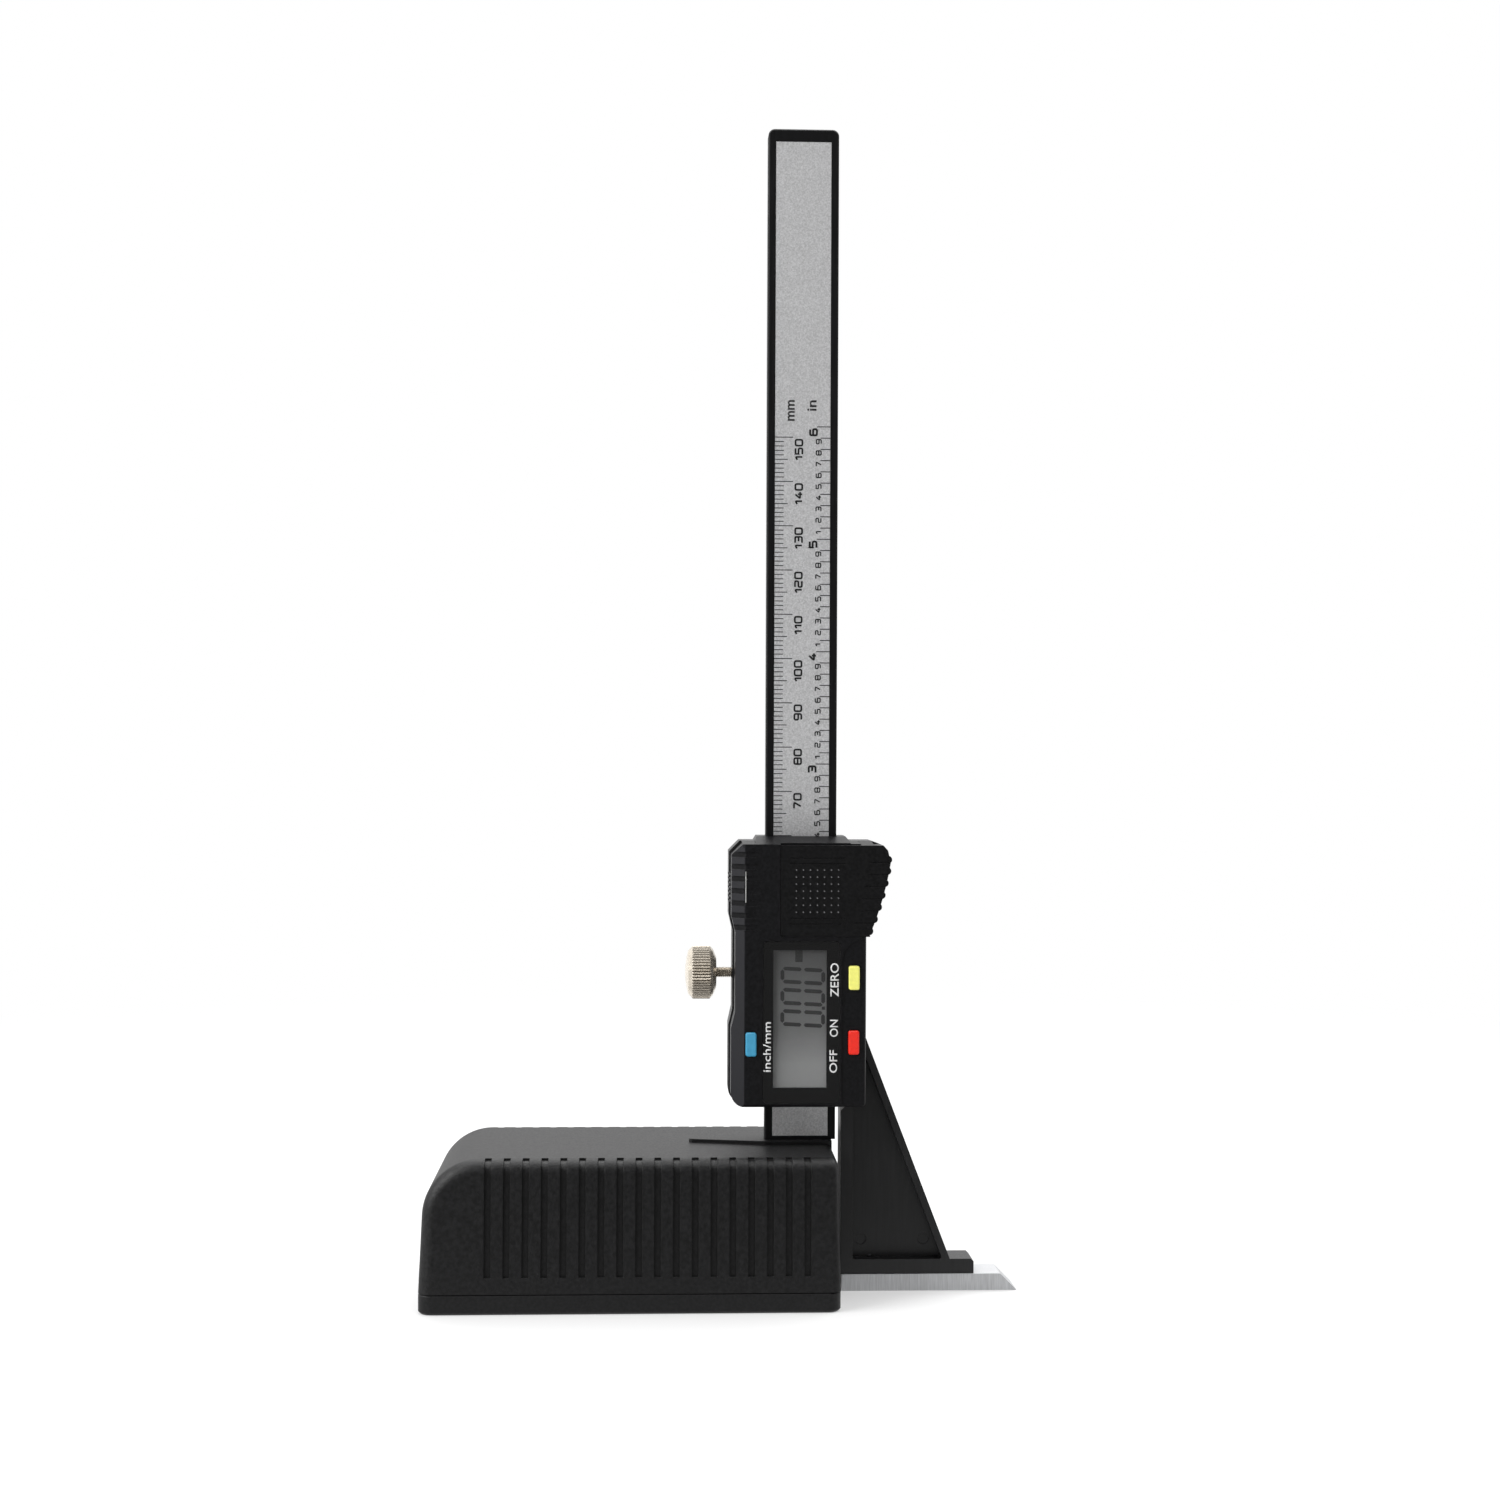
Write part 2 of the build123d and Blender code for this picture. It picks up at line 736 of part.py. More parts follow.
with BuildPart() as slider_frame:
    extrude(on_plane(head_outline(frame_left, frame_top), back_face),
            amount=back_face + board_seat)
    extrude(on_plane(collar_outline.sketch, back_face), amount=back_face + board_seat)
    rear_rim = slider_frame.faces().sort_by(Axis.Y)[-1].edges()
    chamfer(rear_rim.filter_by(Axis.Z).group_by(Axis.X)[0], rear_chamfer)
    add(bracket.part)
    # ribs of the data port's shutter in the left side
    with BuildSketch(plane_at(back_face - rear_chamfer)):
        with Locations((-frame_left, slider_top - port_drop)):
            with GridLocations(0, port_rib_pitch, 1, port_rib_count):
                Rectangle(2 * port_rib_depth, port_rib_gap)
    extrude(amount=front_face, mode=Mode.SUBTRACT)
    # channel for the beam, with a pocket for the gib in its left side
    with BuildSketch(plane_at(channel_back)):
        with Locations((0, slider_bottom)):
            Rectangle(2 * channel_side, 2 * head_height, align=(Align.CENTER, Align.MIN))
        with Locations((0, slider_bottom + gib_end_wall)):
            Rectangle(gib_wall, head_height - 2 * gib_end_wall, align=(Align.MAX, Align.MIN))
    extrude(amount=front_face, mode=Mode.SUBTRACT)
    # screws from the back into the front housing
    with BuildSketch(plane_at(back_face)):
        with Locations(*screw_places):
            Circle(screw_head / 2 + screw_head_clearance)
    extrude(amount=screw_head_sink, mode=Mode.SUBTRACT)
    with BuildSketch(plane_at(back_face)):
        with Locations(*screw_places):
            Circle(screw_body / 2 + screw_head_clearance)
    extrude(amount=front_face, mode=Mode.SUBTRACT)
    # lock screw's bore, and the slot that holds its nut
    with BuildSketch(Plane.YZ.offset(-half_beam)):
        with Locations((0, lock_z)):
            Circle(lock_thread_diameter / 2 + running_clearance)
    extrude(amount=-frame_left, mode=Mode.SUBTRACT)
    with BuildSketch(plane_at(nut_across / 2 + seat_clearance)):
        with Locations((nut_x, lock_z)):
            Rectangle(nut_thickness + 2 * seat_clearance, nut_across + 2 * seat_clearance)
    extrude(amount=front_face, mode=Mode.SUBTRACT)
save(slider_frame, "slider_frame")

with BuildPart() as lock_nut:
    with BuildSketch(Plane.YZ.offset(nut_x - nut_thickness / 2)):
        with Locations((0, lock_z)):
            Rectangle(nut_across, nut_across)
            Circle(lock_thread_diameter / 2 + seat_clearance, mode=Mode.SUBTRACT)
    extrude(amount=nut_thickness)
save(lock_nut, "lock_nut")

with BuildPart() as gib_strip:
    with BuildSketch(Plane.YZ.offset(-gib_outer)):
        with Locations((0, (slider_bottom + slider_top) / 2)):
            Rectangle(gib_width, head_height - 2 * gib_end_wall - 2 * seat_clearance)
    extrude(amount=gib_thickness)
save(gib_strip, "gib_strip")

with BuildPart() as housing_screws:
    with BuildSketch(plane_at(back_face - end_clearance)):
        with Locations(*screw_places):
            Circle(screw_head / 2)
    extrude(amount=screw_head_height)
    with BuildSketch(plane_at(back_face - end_clearance - screw_head_height)):
        with Locations(*screw_places):
            Circle(screw_body / 2)
    extrude(amount=screw_reach)
save(housing_screws, "housing_screws")

# ---------------------------------------------------------------- blade

blade_start = bracket_inner + blade_inset
with BuildPart() as scriber_blade:
    with BuildSketch(plane_at(blade_half_depth)):
        with BuildLine():
            Polyline(
                (blade_start, blade_lift),
                (blade_reach, blade_lift),
                (blade_reach - blade_thickness, blade_lift + blade_thickness),
                (blade_start, blade_lift + blade_thickness),
                close=True,
            )
        make_face()
    extrude(amount=2 * blade_half_depth)
    for x in blade_screw_places:
        add(countersunk_hole(blade_screw_head, blade_screw_diameter, blade_screw_length)
            .moved(Location((x, 0, blade_lift + countersunk_sink))), mode=Mode.SUBTRACT)
save(scriber_blade, "scriber_blade")

with BuildPart() as blade_screws:
    for x in blade_screw_places:
        add(countersunk_screw(blade_screw_head, blade_screw_diameter, blade_screw_length)
            .moved(Location((x, 0, blade_lift + countersunk_sink))))
save(blade_screws, "blade_screws")

# ---------------------------------------------------------------- front housing

rail_heights = (cell_z - rail_offset, cell_z + rail_offset)
rail_start = -cover_left + rail_inset
rail_foot_space = rail_foot_thickness + 3 * running_clearance
housing_low_step = cover_low - running_clearance


with BuildSketch() as bevel_plan:
    with BuildLine():
        Polyline(
            (-head_left, front_chamfer_deep - front_face),
            (front_chamfer_across - head_left, -front_face),
            (-head_left, -front_face),
            close=True,
        )
    make_face()
with BuildSketch() as grip_plan:
    with BuildLine():
        grip_rise = grip_depth * (1 + front_chamfer_deep / front_chamfer_across)
        Polyline(
            (-head_left, grip_rise + front_chamfer_deep - front_face),
            (grip_depth + front_chamfer_across - head_left, grip_depth - front_face),
            (front_chamfer_across + grip_run - head_left, -front_face),
            (-head_left, -front_face),
            close=True,
        )
    make_face()


def top_slope(outline, front_z, back_z):
    """What an outline adds to the head's top, which slopes up from its front edge to the back."""
    with BuildPart() as slope:
        extrude(on_plane(outline, -board_seat), amount=front_face - board_seat)
        with BuildSketch(Plane.YZ.offset(-head_left)):
            with BuildLine():
                Polyline(
                    (-front_face, front_z - side_wall / 2),
                    (-board_seat, front_z - side_wall / 2),
                    (-board_seat, back_z),
                    (-front_face, front_z),
                    close=True,
                )
            make_face()
        extrude(amount=head_height, mode=Mode.INTERSECT)
    return slope.part


with BuildSketch() as top_outline:
    with Locations((corner_chamfer - head_left, slider_top - side_wall / 2)):
        Rectangle(head_left - corner_chamfer + housing_step, head_height,
                  align=(Align.MIN, Align.MIN))

with BuildPart() as front_housing:
    # outer form: stepped left side, square right side, room for the battery cover
    with BuildSketch(plane_at(-board_seat)) as housing_outline:
        with BuildLine():
            Polyline(
                *left_side(head_left, slider_top),
                (head_right, slider_bottom),
                (head_right, housing_low_step),
                (housing_step, housing_low_step),
                (housing_step, slider_top),
                close=True,
            )
        make_face()
        fillet(housing_outline.vertices().group_by(Axis.Y)[0].sort_by(Axis.X)[0],
               corner_radius_low_left)
        fillet(housing_outline.vertices().group_by(Axis.Y)[0].sort_by(Axis.X)[-1],
               corner_radius_low_right)
    extrude(amount=front_face - board_seat)
    right_edges = front_housing.faces().sort_by(Axis.Y)[0].edges().filter_by(Axis.Z)
    fillet(right_edges.sort_by(Axis.X)[-1], right_edge_radius)
    # bevel down the left of the front, with its grip notches, and the data port's slot
    extrude(Plane.XY.offset(slider_bottom) * bevel_plan.sketch, amount=head_height,
            mode=Mode.SUBTRACT)
    for i in range(grip_count):
        extrude(Plane.XY.offset(slider_top - grip_top - i * grip_pitch) * grip_plan.sketch,
                amount=grip_width, mode=Mode.SUBTRACT)
    with BuildSketch(plane_at(-front_face)):
        with Locations((port_slot_inset - head_left, slider_top - port_slot_drop)):
            Rectangle(port_slot_width, port_slot_length)
    extrude(amount=-port_slot_depth, mode=Mode.SUBTRACT)
    # sloping top, and the collar's front on it
    add(top_slope(top_outline.sketch, slider_top, frame_top))
    add(top_slope(collar_outline.sketch, slider_top, frame_top + collar_rise))
    # field round the two right-hand buttons, sunk a little, with a round corner
    with BuildSketch(plane_at(-front_face)):
        with Locations((lens_right + panel_gap, slider_bottom)):
            field = Rectangle(2 * head_right, housing_low_step - panel_gap - slider_bottom,
                              align=(Align.MIN, Align.MIN))
        fillet(field.vertices().group_by(Axis.Y)[-1].sort_by(Axis.X)[0], panel_radius)
    extrude(amount=-panel_depth, mode=Mode.SUBTRACT)
    # hollow behind the front wall, and behind the thinner wall under the battery cover
    with BuildSketch(plane_at(-board_seat)):
        with BuildLine():
            Polyline(
                (-inner_left, slider_bottom + side_wall),
                (head_right - side_wall, slider_bottom + side_wall),
                (head_right - side_wall, housing_low_step - side_wall),
                (housing_step - side_wall, housing_low_step - side_wall),
                (housing_step - side_wall, slider_top - side_wall),
                (-inner_left, slider_top - side_wall),
                close=True,
            )
        make_face()
    extrude(amount=recess_face - cover_wall_gap - board_seat, mode=Mode.SUBTRACT)
    with BuildSketch(plane_at(-board_seat)):
        with Locations((-inner_left, slider_bottom + side_wall)):
            Rectangle(inner_left + head_right - side_wall,
                      lens_head + end_clearance - slider_bottom - side_wall,
                      align=(Align.MIN, Align.MIN))
    extrude(amount=front_face - front_wall - board_seat, mode=Mode.SUBTRACT)
    # step that the battery cover lies on
    with BuildSketch(plane_at(-recess_face)):
        with Locations((-cover_left - running_clearance, housing_low_step)):
            step = Rectangle(2 * head_right, head_height, align=(Align.MIN, Align.MIN))
        fillet(step.vertices().group_by(Axis.Y)[0].sort_by(Axis.X)[0],
               cover_corner + running_clearance)
    extrude(amount=front_face, mode=Mode.SUBTRACT)
    # cell's well, and the two rail slots that run out to the right
    with BuildSketch(plane_at(-board_seat)):
        with Locations((cell_x, cell_z)):
            Circle(cell_diameter / 2 + 2 * running_clearance)
        with Locations(*[(rail_start, z) for z in rail_heights]):
            Rectangle(2 * head_right, rail_neck + 2 * running_clearance,
                      align=(Align.MIN, Align.CENTER))
    extrude(amount=front_face, mode=Mode.SUBTRACT)
    with BuildSketch(plane_at(-recess_face + cover_wall_gap + rail_foot_space)):
        with Locations(*[(rail_start, z) for z in rail_heights]):
            Rectangle(2 * head_right, rail_foot + 2 * running_clearance,
                      align=(Align.MIN, Align.CENTER))
    extrude(amount=rail_foot_space, mode=Mode.SUBTRACT)
    # seat and window of the display
    with BuildSketch(plane_at(-front_face + lens_thickness)):
        with Locations(lens_middle):
            RectangleRounded(lens_right - lens_left + 2 * seat_clearance,
                             lens_head - lens_foot + 2 * seat_clearance, lens_corner)
    extrude(amount=lens_thickness, mode=Mode.SUBTRACT)
    with BuildSketch(plane_at(-board_seat)):
        with Locations(((window_left + window_right) / 2, (window_foot + window_head) / 2)):
            Rectangle(window_right - window_left, window_head - window_foot)
    extrude(amount=front_face, mode=Mode.SUBTRACT)
    # bosses for the screws, joined to the side walls
    with BuildSketch(plane_at(-board_front - seat_clearance)):
        with Locations(*screw_places):
            Circle(housing_boss_diameter / 2)
    extrude(amount=recess_face - cover_wall_gap / 2 - board_front)
    with BuildSketch(plane_at(-board_front)):
        with Locations(*screw_places):
            Circle(screw_body / 2 + seat_clearance)
    extrude(amount=screw_bite + screw_pilot_spare, mode=Mode.SUBTRACT)
    # buttons' holes
    with BuildSketch(plane_at(-board_seat)):
        with Locations(*button_places.values()):
            RectangleRounded(button_width + 2 * running_clearance,
                             button_length + 2 * running_clearance,
                             button_corner + running_clearance)
    extrude(amount=front_face, mode=Mode.SUBTRACT)
save(front_housing, "front_housing")

# ---------------------------------------------------------------- battery cover and cell

cap_back = board_seat + running_clearance
with BuildSketch() as cover_outline:
    add(head_outline(frame_left, slider_top))
    with Locations((-cover_left, cover_low)):
        Rectangle(head_height, cover_high - cover_low, align=(Align.MIN, Align.MIN),
                  mode=Mode.INTERSECT)
    fillet(cover_outline.vertices().group_by(Axis.X)[0].sort_by(Axis.Y)[0], cover_corner)
with BuildSketch() as cap_outline:
    add(cover_outline.sketch)
    with Locations((head_right - cover_cap, cover_low)):
        Rectangle(head_height, cover_high - cover_low, align=(Align.MIN, Align.MIN),
                  mode=Mode.INTERSECT)

with BuildPart() as battery_cover:
    extrude(on_plane(cover_outline.sketch, -front_face + cover_plate), amount=cover_plate)
    extrude(on_plane(cap_outline.sketch, -cap_back),
            amount=front_face - cover_plate - cap_back)
    with BuildSketch(Plane.YZ.offset(head_right - cover_cap)):
        with BuildLine():
            Polyline(
                (-front_face, cover_high - side_wall / 2),
                (-cap_back, cover_high - side_wall / 2),
                (-cap_back, frame_top),
                (-front_face, cover_high),
                close=True,
            )
        make_face()
    extrude(amount=cover_cap + shoulder_start)
    # fine lines from the teeth across the front, and above and below the pips
    with BuildSketch(plane_at(-front_face)):
        with Locations(*[thumb_notch(tooth) for tooth in range(1, tooth_count)]):
            Rectangle(2 * score_length, score_width)
        with Locations(*[(cell_x + pip_field_shift, cell_z + side * height)
                         for side in (-1, 1) for height in field_line_heights]):
            Rectangle(field_line_length, field_line_width)
    extrude(amount=-score_depth, mode=Mode.SUBTRACT)
    # pips for the thumb
    with BuildSketch(plane_at(-front_face)):
        with Locations((cell_x + pip_field_shift, cell_z)):
            with GridLocations(pip_pitch, pip_pitch, pip_rows, pip_rows):
                RegularPolygon(pip_width / 2, side_count=4)
    extrude(amount=pip_height, taper=pip_flank)
    # rails: a neck through the housing's wall and a foot behind it
    rail_length = housing_step - side_wall - rail_start
    with BuildSketch(plane_at(-front_face + cover_plate)):
        with Locations(*[(rail_start + end_clearance, z) for z in rail_heights]):
            Rectangle(rail_length, rail_neck, align=(Align.MIN, Align.CENTER))
    extrude(amount=-(cover_wall_gap + 2 * seat_clearance + running_clearance))
    with BuildSketch(plane_at(-recess_face + cover_wall_gap + running_clearance)):
        with Locations(*[(rail_start + end_clearance, z) for z in rail_heights]):
            Rectangle(rail_length, rail_foot, align=(Align.MIN, Align.CENTER))
    extrude(amount=-rail_foot_thickness)
save(battery_cover, "battery_cover")

cell_front = recess_face - running_clearance
with BuildPart() as coin_cell:
    with BuildSketch(plane_at(-cell_front + cell_thickness)):
        with Locations((cell_x, cell_z)):
            Circle(cell_diameter / 2)
    extrude(amount=cell_thickness)
    chamfer(coin_cell.edges().filter_by(GeomType.CIRCLE).sort_by(Axis.Y)[0], cell_chamfer)
save(coin_cell, "coin_cell")

with BuildPart() as battery_contacts:
    # sprung leaf under the cell
    with BuildSketch(plane_at(-board_front)):
        with Locations((cell_x, cell_z)):
            Rectangle(contact_length, contact_width)
    extrude(amount=cell_front - cell_thickness - board_front)
    # upright leaf against the cell's side
    with BuildSketch(plane_at(-board_front)):
        with Locations((cell_x - cell_diameter / 2 - seat_clearance / 2, cell_z)):
            Rectangle(contact_thickness, contact_width, align=(Align.MAX, Align.CENTER))
    extrude(amount=cell_front - cell_thickness / 2 - board_front)
save(battery_contacts, "battery_contacts")

# ---------------------------------------------------------------- display and circuit board

with BuildPart() as lcd_lens:
    with BuildSketch(plane_at(-front_face + lens_thickness)):
        with Locations(lens_middle):
            RectangleRounded(lens_right - lens_left, lens_head - lens_foot, lens_corner)
    extrude(amount=lens_thickness)
save(lcd_lens, "lcd_lens")

lcd_left = window_left - lcd_overlap
lcd_right = window_right + lcd_overlap
lcd_foot = window_foot - lcd_overlap
lcd_head = window_head + lcd_overlap_head
lcd_middle_z = (lcd_foot + lcd_head) / 2
lcd_front = front_face - front_wall - seat_clearance
with BuildPart() as lcd_panel:
    with BuildSketch(plane_at(-lcd_front + lcd_thickness)):
        with Locations(((lcd_left + lcd_right) / 2, lcd_middle_z)):
            Rectangle(lcd_right - lcd_left, lcd_head - lcd_foot)
    extrude(amount=lcd_thickness)
save(lcd_panel, "lcd_panel")

with BuildPart() as zebra_strips:
    with BuildSketch(plane_at(-board_front)):
        with Locations((lcd_left + zebra_width, lcd_middle_z),
                       (lcd_right - zebra_width, lcd_middle_z)):
            Rectangle(zebra_width, lcd_head - lcd_foot - 2 * zebra_width)
    extrude(amount=lcd_front - lcd_thickness - board_front)
save(zebra_strips, "zebra_strips")

board_inset = side_wall + seat_clearance
with BuildPart() as circuit_board:
    with BuildSketch(plane_at(-board_seat)):
        with BuildLine():
            Polyline(
                (-inner_left + seat_clearance, slider_bottom + board_inset),
                (head_right - board_inset, slider_bottom + board_inset),
                (head_right - board_inset, housing_low_step - board_inset),
                (housing_step - board_inset, housing_low_step - board_inset),
                (housing_step - board_inset, slider_top - board_inset),
                (-inner_left + seat_clearance, slider_top - board_inset),
                close=True,
            )
        make_face()
        with Locations(*screw_places):
            Circle(screw_body / 2 + screw_head_clearance, mode=Mode.SUBTRACT)
    extrude(amount=board_thickness)
save(circuit_board, "circuit_board")

with BuildPart() as tact_switches:
    with BuildSketch(plane_at(-board_front)):
        with Locations(*button_places.values()):
            Rectangle(switch_width, switch_length)
    extrude(amount=switch_thickness)
    with BuildSketch(plane_at(-board_front - switch_thickness)):
        with Locations(*button_places.values()):
            Circle(switch_plunger_diameter / 2)
    extrude(amount=switch_plunger)
save(tact_switches, "tact_switches")

# ---------------------------------------------------------------- buttons

flange_front = front_face - front_wall - running_clearance
stem_end = board_front + switch_thickness + switch_plunger + button_travel + seat_clearance
for name, middle in button_places.items():
    with BuildPart() as button:
        with BuildSketch(plane_at(-flange_front)):
            with Locations(middle):
                RectangleRounded(button_width, button_length, button_corner)
        extrude(amount=front_face + button_proud - flange_front)
        chamfer(button.faces().sort_by(Axis.Y)[0].edges(), button_chamfer)
        with BuildSketch(plane_at(-flange_front + button_flange)):
            with Locations(middle):
                Rectangle(button_width, button_length + 2 * button_flange_beyond)
        extrude(amount=button_flange)
        with BuildSketch(plane_at(-stem_end)):
            with Locations(middle):
                Circle(button_stem_diameter / 2)
        extrude(amount=flange_front - button_flange - stem_end)
    save(button, name)

# ---------------------------------------------------------------- lock screw

pad_right = -gib_outer - lock_tip_gap
screw_tip = pad_right - lock_pad_length
knob_back = -head_left + relief_depth - lock_stem_showing
with BuildPart() as lock_pad:
    with BuildSketch(Plane.YZ.offset(screw_tip)):
        with Locations((0, lock_z)):
            Circle(lock_thread_diameter / 2)
    extrude(amount=lock_pad_length)
save(lock_pad, "lock_pad")

knob_radius = knob_diameter / 2
dome_rim = knob_radius - knob_front_bevel
dome_radius = (dome_rim ** 2 + knob_dome ** 2) / (2 * knob_dome)
stem_radius = lock_thread_diameter / 2
with BuildPart() as lock_screw:
    with BuildSketch(Plane.XZ.shift_origin((knob_back, 0, lock_z))):
        with BuildLine():
            Polyline(
                (-knob_length, 0),
                (screw_tip - knob_back, 0),
                (screw_tip - knob_back, stem_radius),
                (0, stem_radius),
                (0, knob_neck / 2),
                (-knob_back_bevel / 2, knob_radius - knob_back_bevel / 2),
                (-knob_back_bevel, knob_radius),
                (knob_dome + knob_front_bevel - knob_length, knob_radius),
                (knob_dome - knob_length, dome_rim),
            )
            RadiusArc((knob_dome - knob_length, dome_rim), (-knob_length, 0), -dome_radius)
        make_face()
    revolve(axis=Axis((0, 0, lock_z), (1, 0, 0)))
    # straight knurl: V grooves between the two bevels
    with BuildSketch(Plane.YZ.offset(knob_back - knob_back_bevel / 4)):
        with Locations((0, lock_z)):
            with PolarLocations(knob_radius, knob_teeth):
                RegularPolygon(knob_knurl_depth, side_count=4)
    extrude(amount=-(knob_length - knob_dome - knob_front_bevel / 2 - knob_back_bevel / 4),
            mode=Mode.SUBTRACT)
save(lock_screw, "lock_screw")
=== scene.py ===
import math

import bmesh
import bpy
from mathutils import Matrix, Vector


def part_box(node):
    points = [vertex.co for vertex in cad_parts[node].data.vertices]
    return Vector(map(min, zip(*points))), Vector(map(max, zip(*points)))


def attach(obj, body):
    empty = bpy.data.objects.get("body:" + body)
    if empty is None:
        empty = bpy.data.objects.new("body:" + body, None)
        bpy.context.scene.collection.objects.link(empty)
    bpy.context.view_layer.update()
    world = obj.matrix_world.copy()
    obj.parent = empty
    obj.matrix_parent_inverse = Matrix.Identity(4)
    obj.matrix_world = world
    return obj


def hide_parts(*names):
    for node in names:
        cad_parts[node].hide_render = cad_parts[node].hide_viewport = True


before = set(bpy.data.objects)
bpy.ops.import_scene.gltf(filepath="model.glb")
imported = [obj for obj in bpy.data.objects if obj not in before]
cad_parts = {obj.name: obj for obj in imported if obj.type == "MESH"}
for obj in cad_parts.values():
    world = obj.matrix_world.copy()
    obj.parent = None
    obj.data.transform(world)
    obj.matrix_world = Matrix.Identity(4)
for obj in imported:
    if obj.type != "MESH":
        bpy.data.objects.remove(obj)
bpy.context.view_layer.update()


# ---------------------------------------------------------------- base cover
# The body of the base: a hollow ABS moulding, black all through. Its steel mould was
# spark-eroded, so the plastic has a fine matt grain, and the mould's edges leave it
# slightly round where the grip grooves are cut.

MM = 0.001


def linear(hex_colour):
    """A hex colour as a screen shows it, such as "2a2a2c", as linear RGBA."""
    parts = [int(hex_colour[i:i + 2], 16) / 255 for i in (0, 2, 4)]
    return (*[c / 12.92 if c <= 0.04045 else ((c + 0.055) / 1.055) ** 2.4 for c in parts], 1)


def add_node(tree, kind, inputs=None, **settings):
    """A new node with its settings; each input is linked to a socket or set to a value."""
    node = tree.nodes.new(kind)
    for key, value in settings.items():
        setattr(node, key, value)
    for key, value in (inputs or {}).items():
        if isinstance(value, bpy.types.NodeSocket):
            tree.links.new(value, node.inputs[key])
        else:
            node.inputs[key].default_value = value
    return node


def new_finish(name):
    """An empty material: its node tree, the place on the piece in metres, and its shader."""
    finish = bpy.data.materials.new(name)
    finish.use_nodes = True
    tree = finish.node_tree
    tree.nodes.clear()
    place = add_node(tree, "ShaderNodeTexCoord").outputs["Object"]
    shader = add_node(tree, "ShaderNodeBsdfPrincipled")
    add_node(tree, "ShaderNodeOutputMaterial", {"Surface": shader.outputs["BSDF"]})
    return finish, tree, place, shader


def moulded(name, colour, roughness, grain, relief, edge, shine=0.35, mottle=0.4):
    """A moulded plastic whose skin has grain of that width, and relief as its height.

    edge is the radius that its corners seem to have, shine its specular level, and mottle
    how far its colour clouds to either side."""
    finish, tree, place, shader = new_finish(name)
    cloud = add_node(tree, "ShaderNodeTexNoise", {
        "Vector": place, "Scale": 1 / (2 * grain), "Detail": 4.0, "Roughness": 0.6})
    base = linear(colour)
    tint = add_node(tree, "ShaderNodeValToRGB", {"Fac": cloud.outputs["Fac"]})
    for stop, place_on_ramp, share in zip(tint.color_ramp.elements, (0.35, 0.65),
                                          (1 - mottle, 1 + mottle)):
        stop.position = place_on_ramp
        stop.color = (*[share * c for c in base[:3]], 1)
    spark = add_node(tree, "ShaderNodeTexNoise",
                     {"Vector": place, "Scale": 1 / grain, "Roughness": 0.6})
    gloss = add_node(tree, "ShaderNodeMapRange", {
        "Value": spark.outputs["Fac"], "From Min": 0.3, "From Max": 0.7,
        "To Min": roughness - 0.05, "To Max": roughness + 0.05})
    rounded = add_node(tree, "ShaderNodeBevel", {"Radius": edge}, samples=4)
    skin = add_node(tree, "ShaderNodeBump", {
        "Height": spark.outputs["Fac"], "Distance": relief,
        "Normal": rounded.outputs["Normal"]})
    shader.inputs["Specular IOR Level"].default_value = shine
    tree.links.new(tint.outputs["Color"], shader.inputs["Base Color"])
    tree.links.new(gloss.outputs["Result"], shader.inputs["Roughness"])
    tree.links.new(skin.outputs["Normal"], shader.inputs["Normal"])
    return finish


def give(finish, *nodes):
    """Puts a finish on every slot of these CAD nodes."""
    for node in nodes:
        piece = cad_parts[node]
        if not piece.material_slots:
            piece.data.materials.append(finish)
        for material_slot in piece.material_slots:
            material_slot.material = finish


def find_node(finish, kind):
    """The one node of that kind in a finish."""
    return next(node for node in finish.node_tree.nodes if node.type == kind)


# spark-eroded ABS: dull black whose rounded top edges pick up a grainy, grey sheen
eroded_abs = moulded("eroded_black_abs", "131314", roughness=0.48, grain=0.45 * MM,
                     relief=0.09 * MM, edge=0.25 * MM, shine=0.4, mottle=0.6)
give(eroded_abs, "base_cover")


# The sockets of a Mix node for colours go by number: its factor, its two colours, its result
MIX_SHARE, MIX_FIRST, MIX_SECOND, MIX_RESULT = 0, 6, 7, 2


def shelter(finish, reach, dark, start, full):
    """Paints shade into a finish: darkens it by the colour dark in grooves and corners narrower
    than reach.

    It is darkest where less than start of the sky above a point is open, and ends at full."""
    tree = finish.node_tree
    shader = find_node(finish, "BSDF_PRINCIPLED")
    openness = add_node(tree, "ShaderNodeAmbientOcclusion", {"Distance": reach}, samples=8)
    share = add_node(tree, "ShaderNodeValToRGB", {"Fac": openness.outputs["AO"]})
    share.color_ramp.elements[0].position = start
    share.color_ramp.elements[0].color = linear(dark)
    share.color_ramp.elements[1].position = full
    unshaded_colour = shader.inputs["Base Color"].links[0].from_socket
    # painted shade: the colour is multiplied darker in grooves and corners
    shaded_colour = add_node(tree, "ShaderNodeMix", {
        MIX_SHARE: 1.0, MIX_FIRST: unshaded_colour, MIX_SECOND: share.outputs["Color"]},
                      data_type="RGBA", blend_type="MULTIPLY")
    tree.links.new(shaded_colour.outputs[MIX_RESULT], shader.inputs["Base Color"])


# painted shade: the grooves of the matt grain are darkened in the colour, where shade falls in
# them
shelter(eroded_abs, reach=1.2 * MM, dark="505050", start=0.55, full=0.95)


# ---------------------------------------------------------------- base plate
# The plate that closes the base from below, moulded in the same ABS, with four
# nickel-plated magnets in its pockets and four zinc-plated screws up into the cover.

# the same plastic from a polished mould: a little glossier than the cover
plate_abs = moulded("smooth_black_abs", "171718", roughness=0.4, grain=0.3 * MM,
                    relief=0.012 * MM, edge=0.2 * MM)
give(plate_abs, "base_plate")


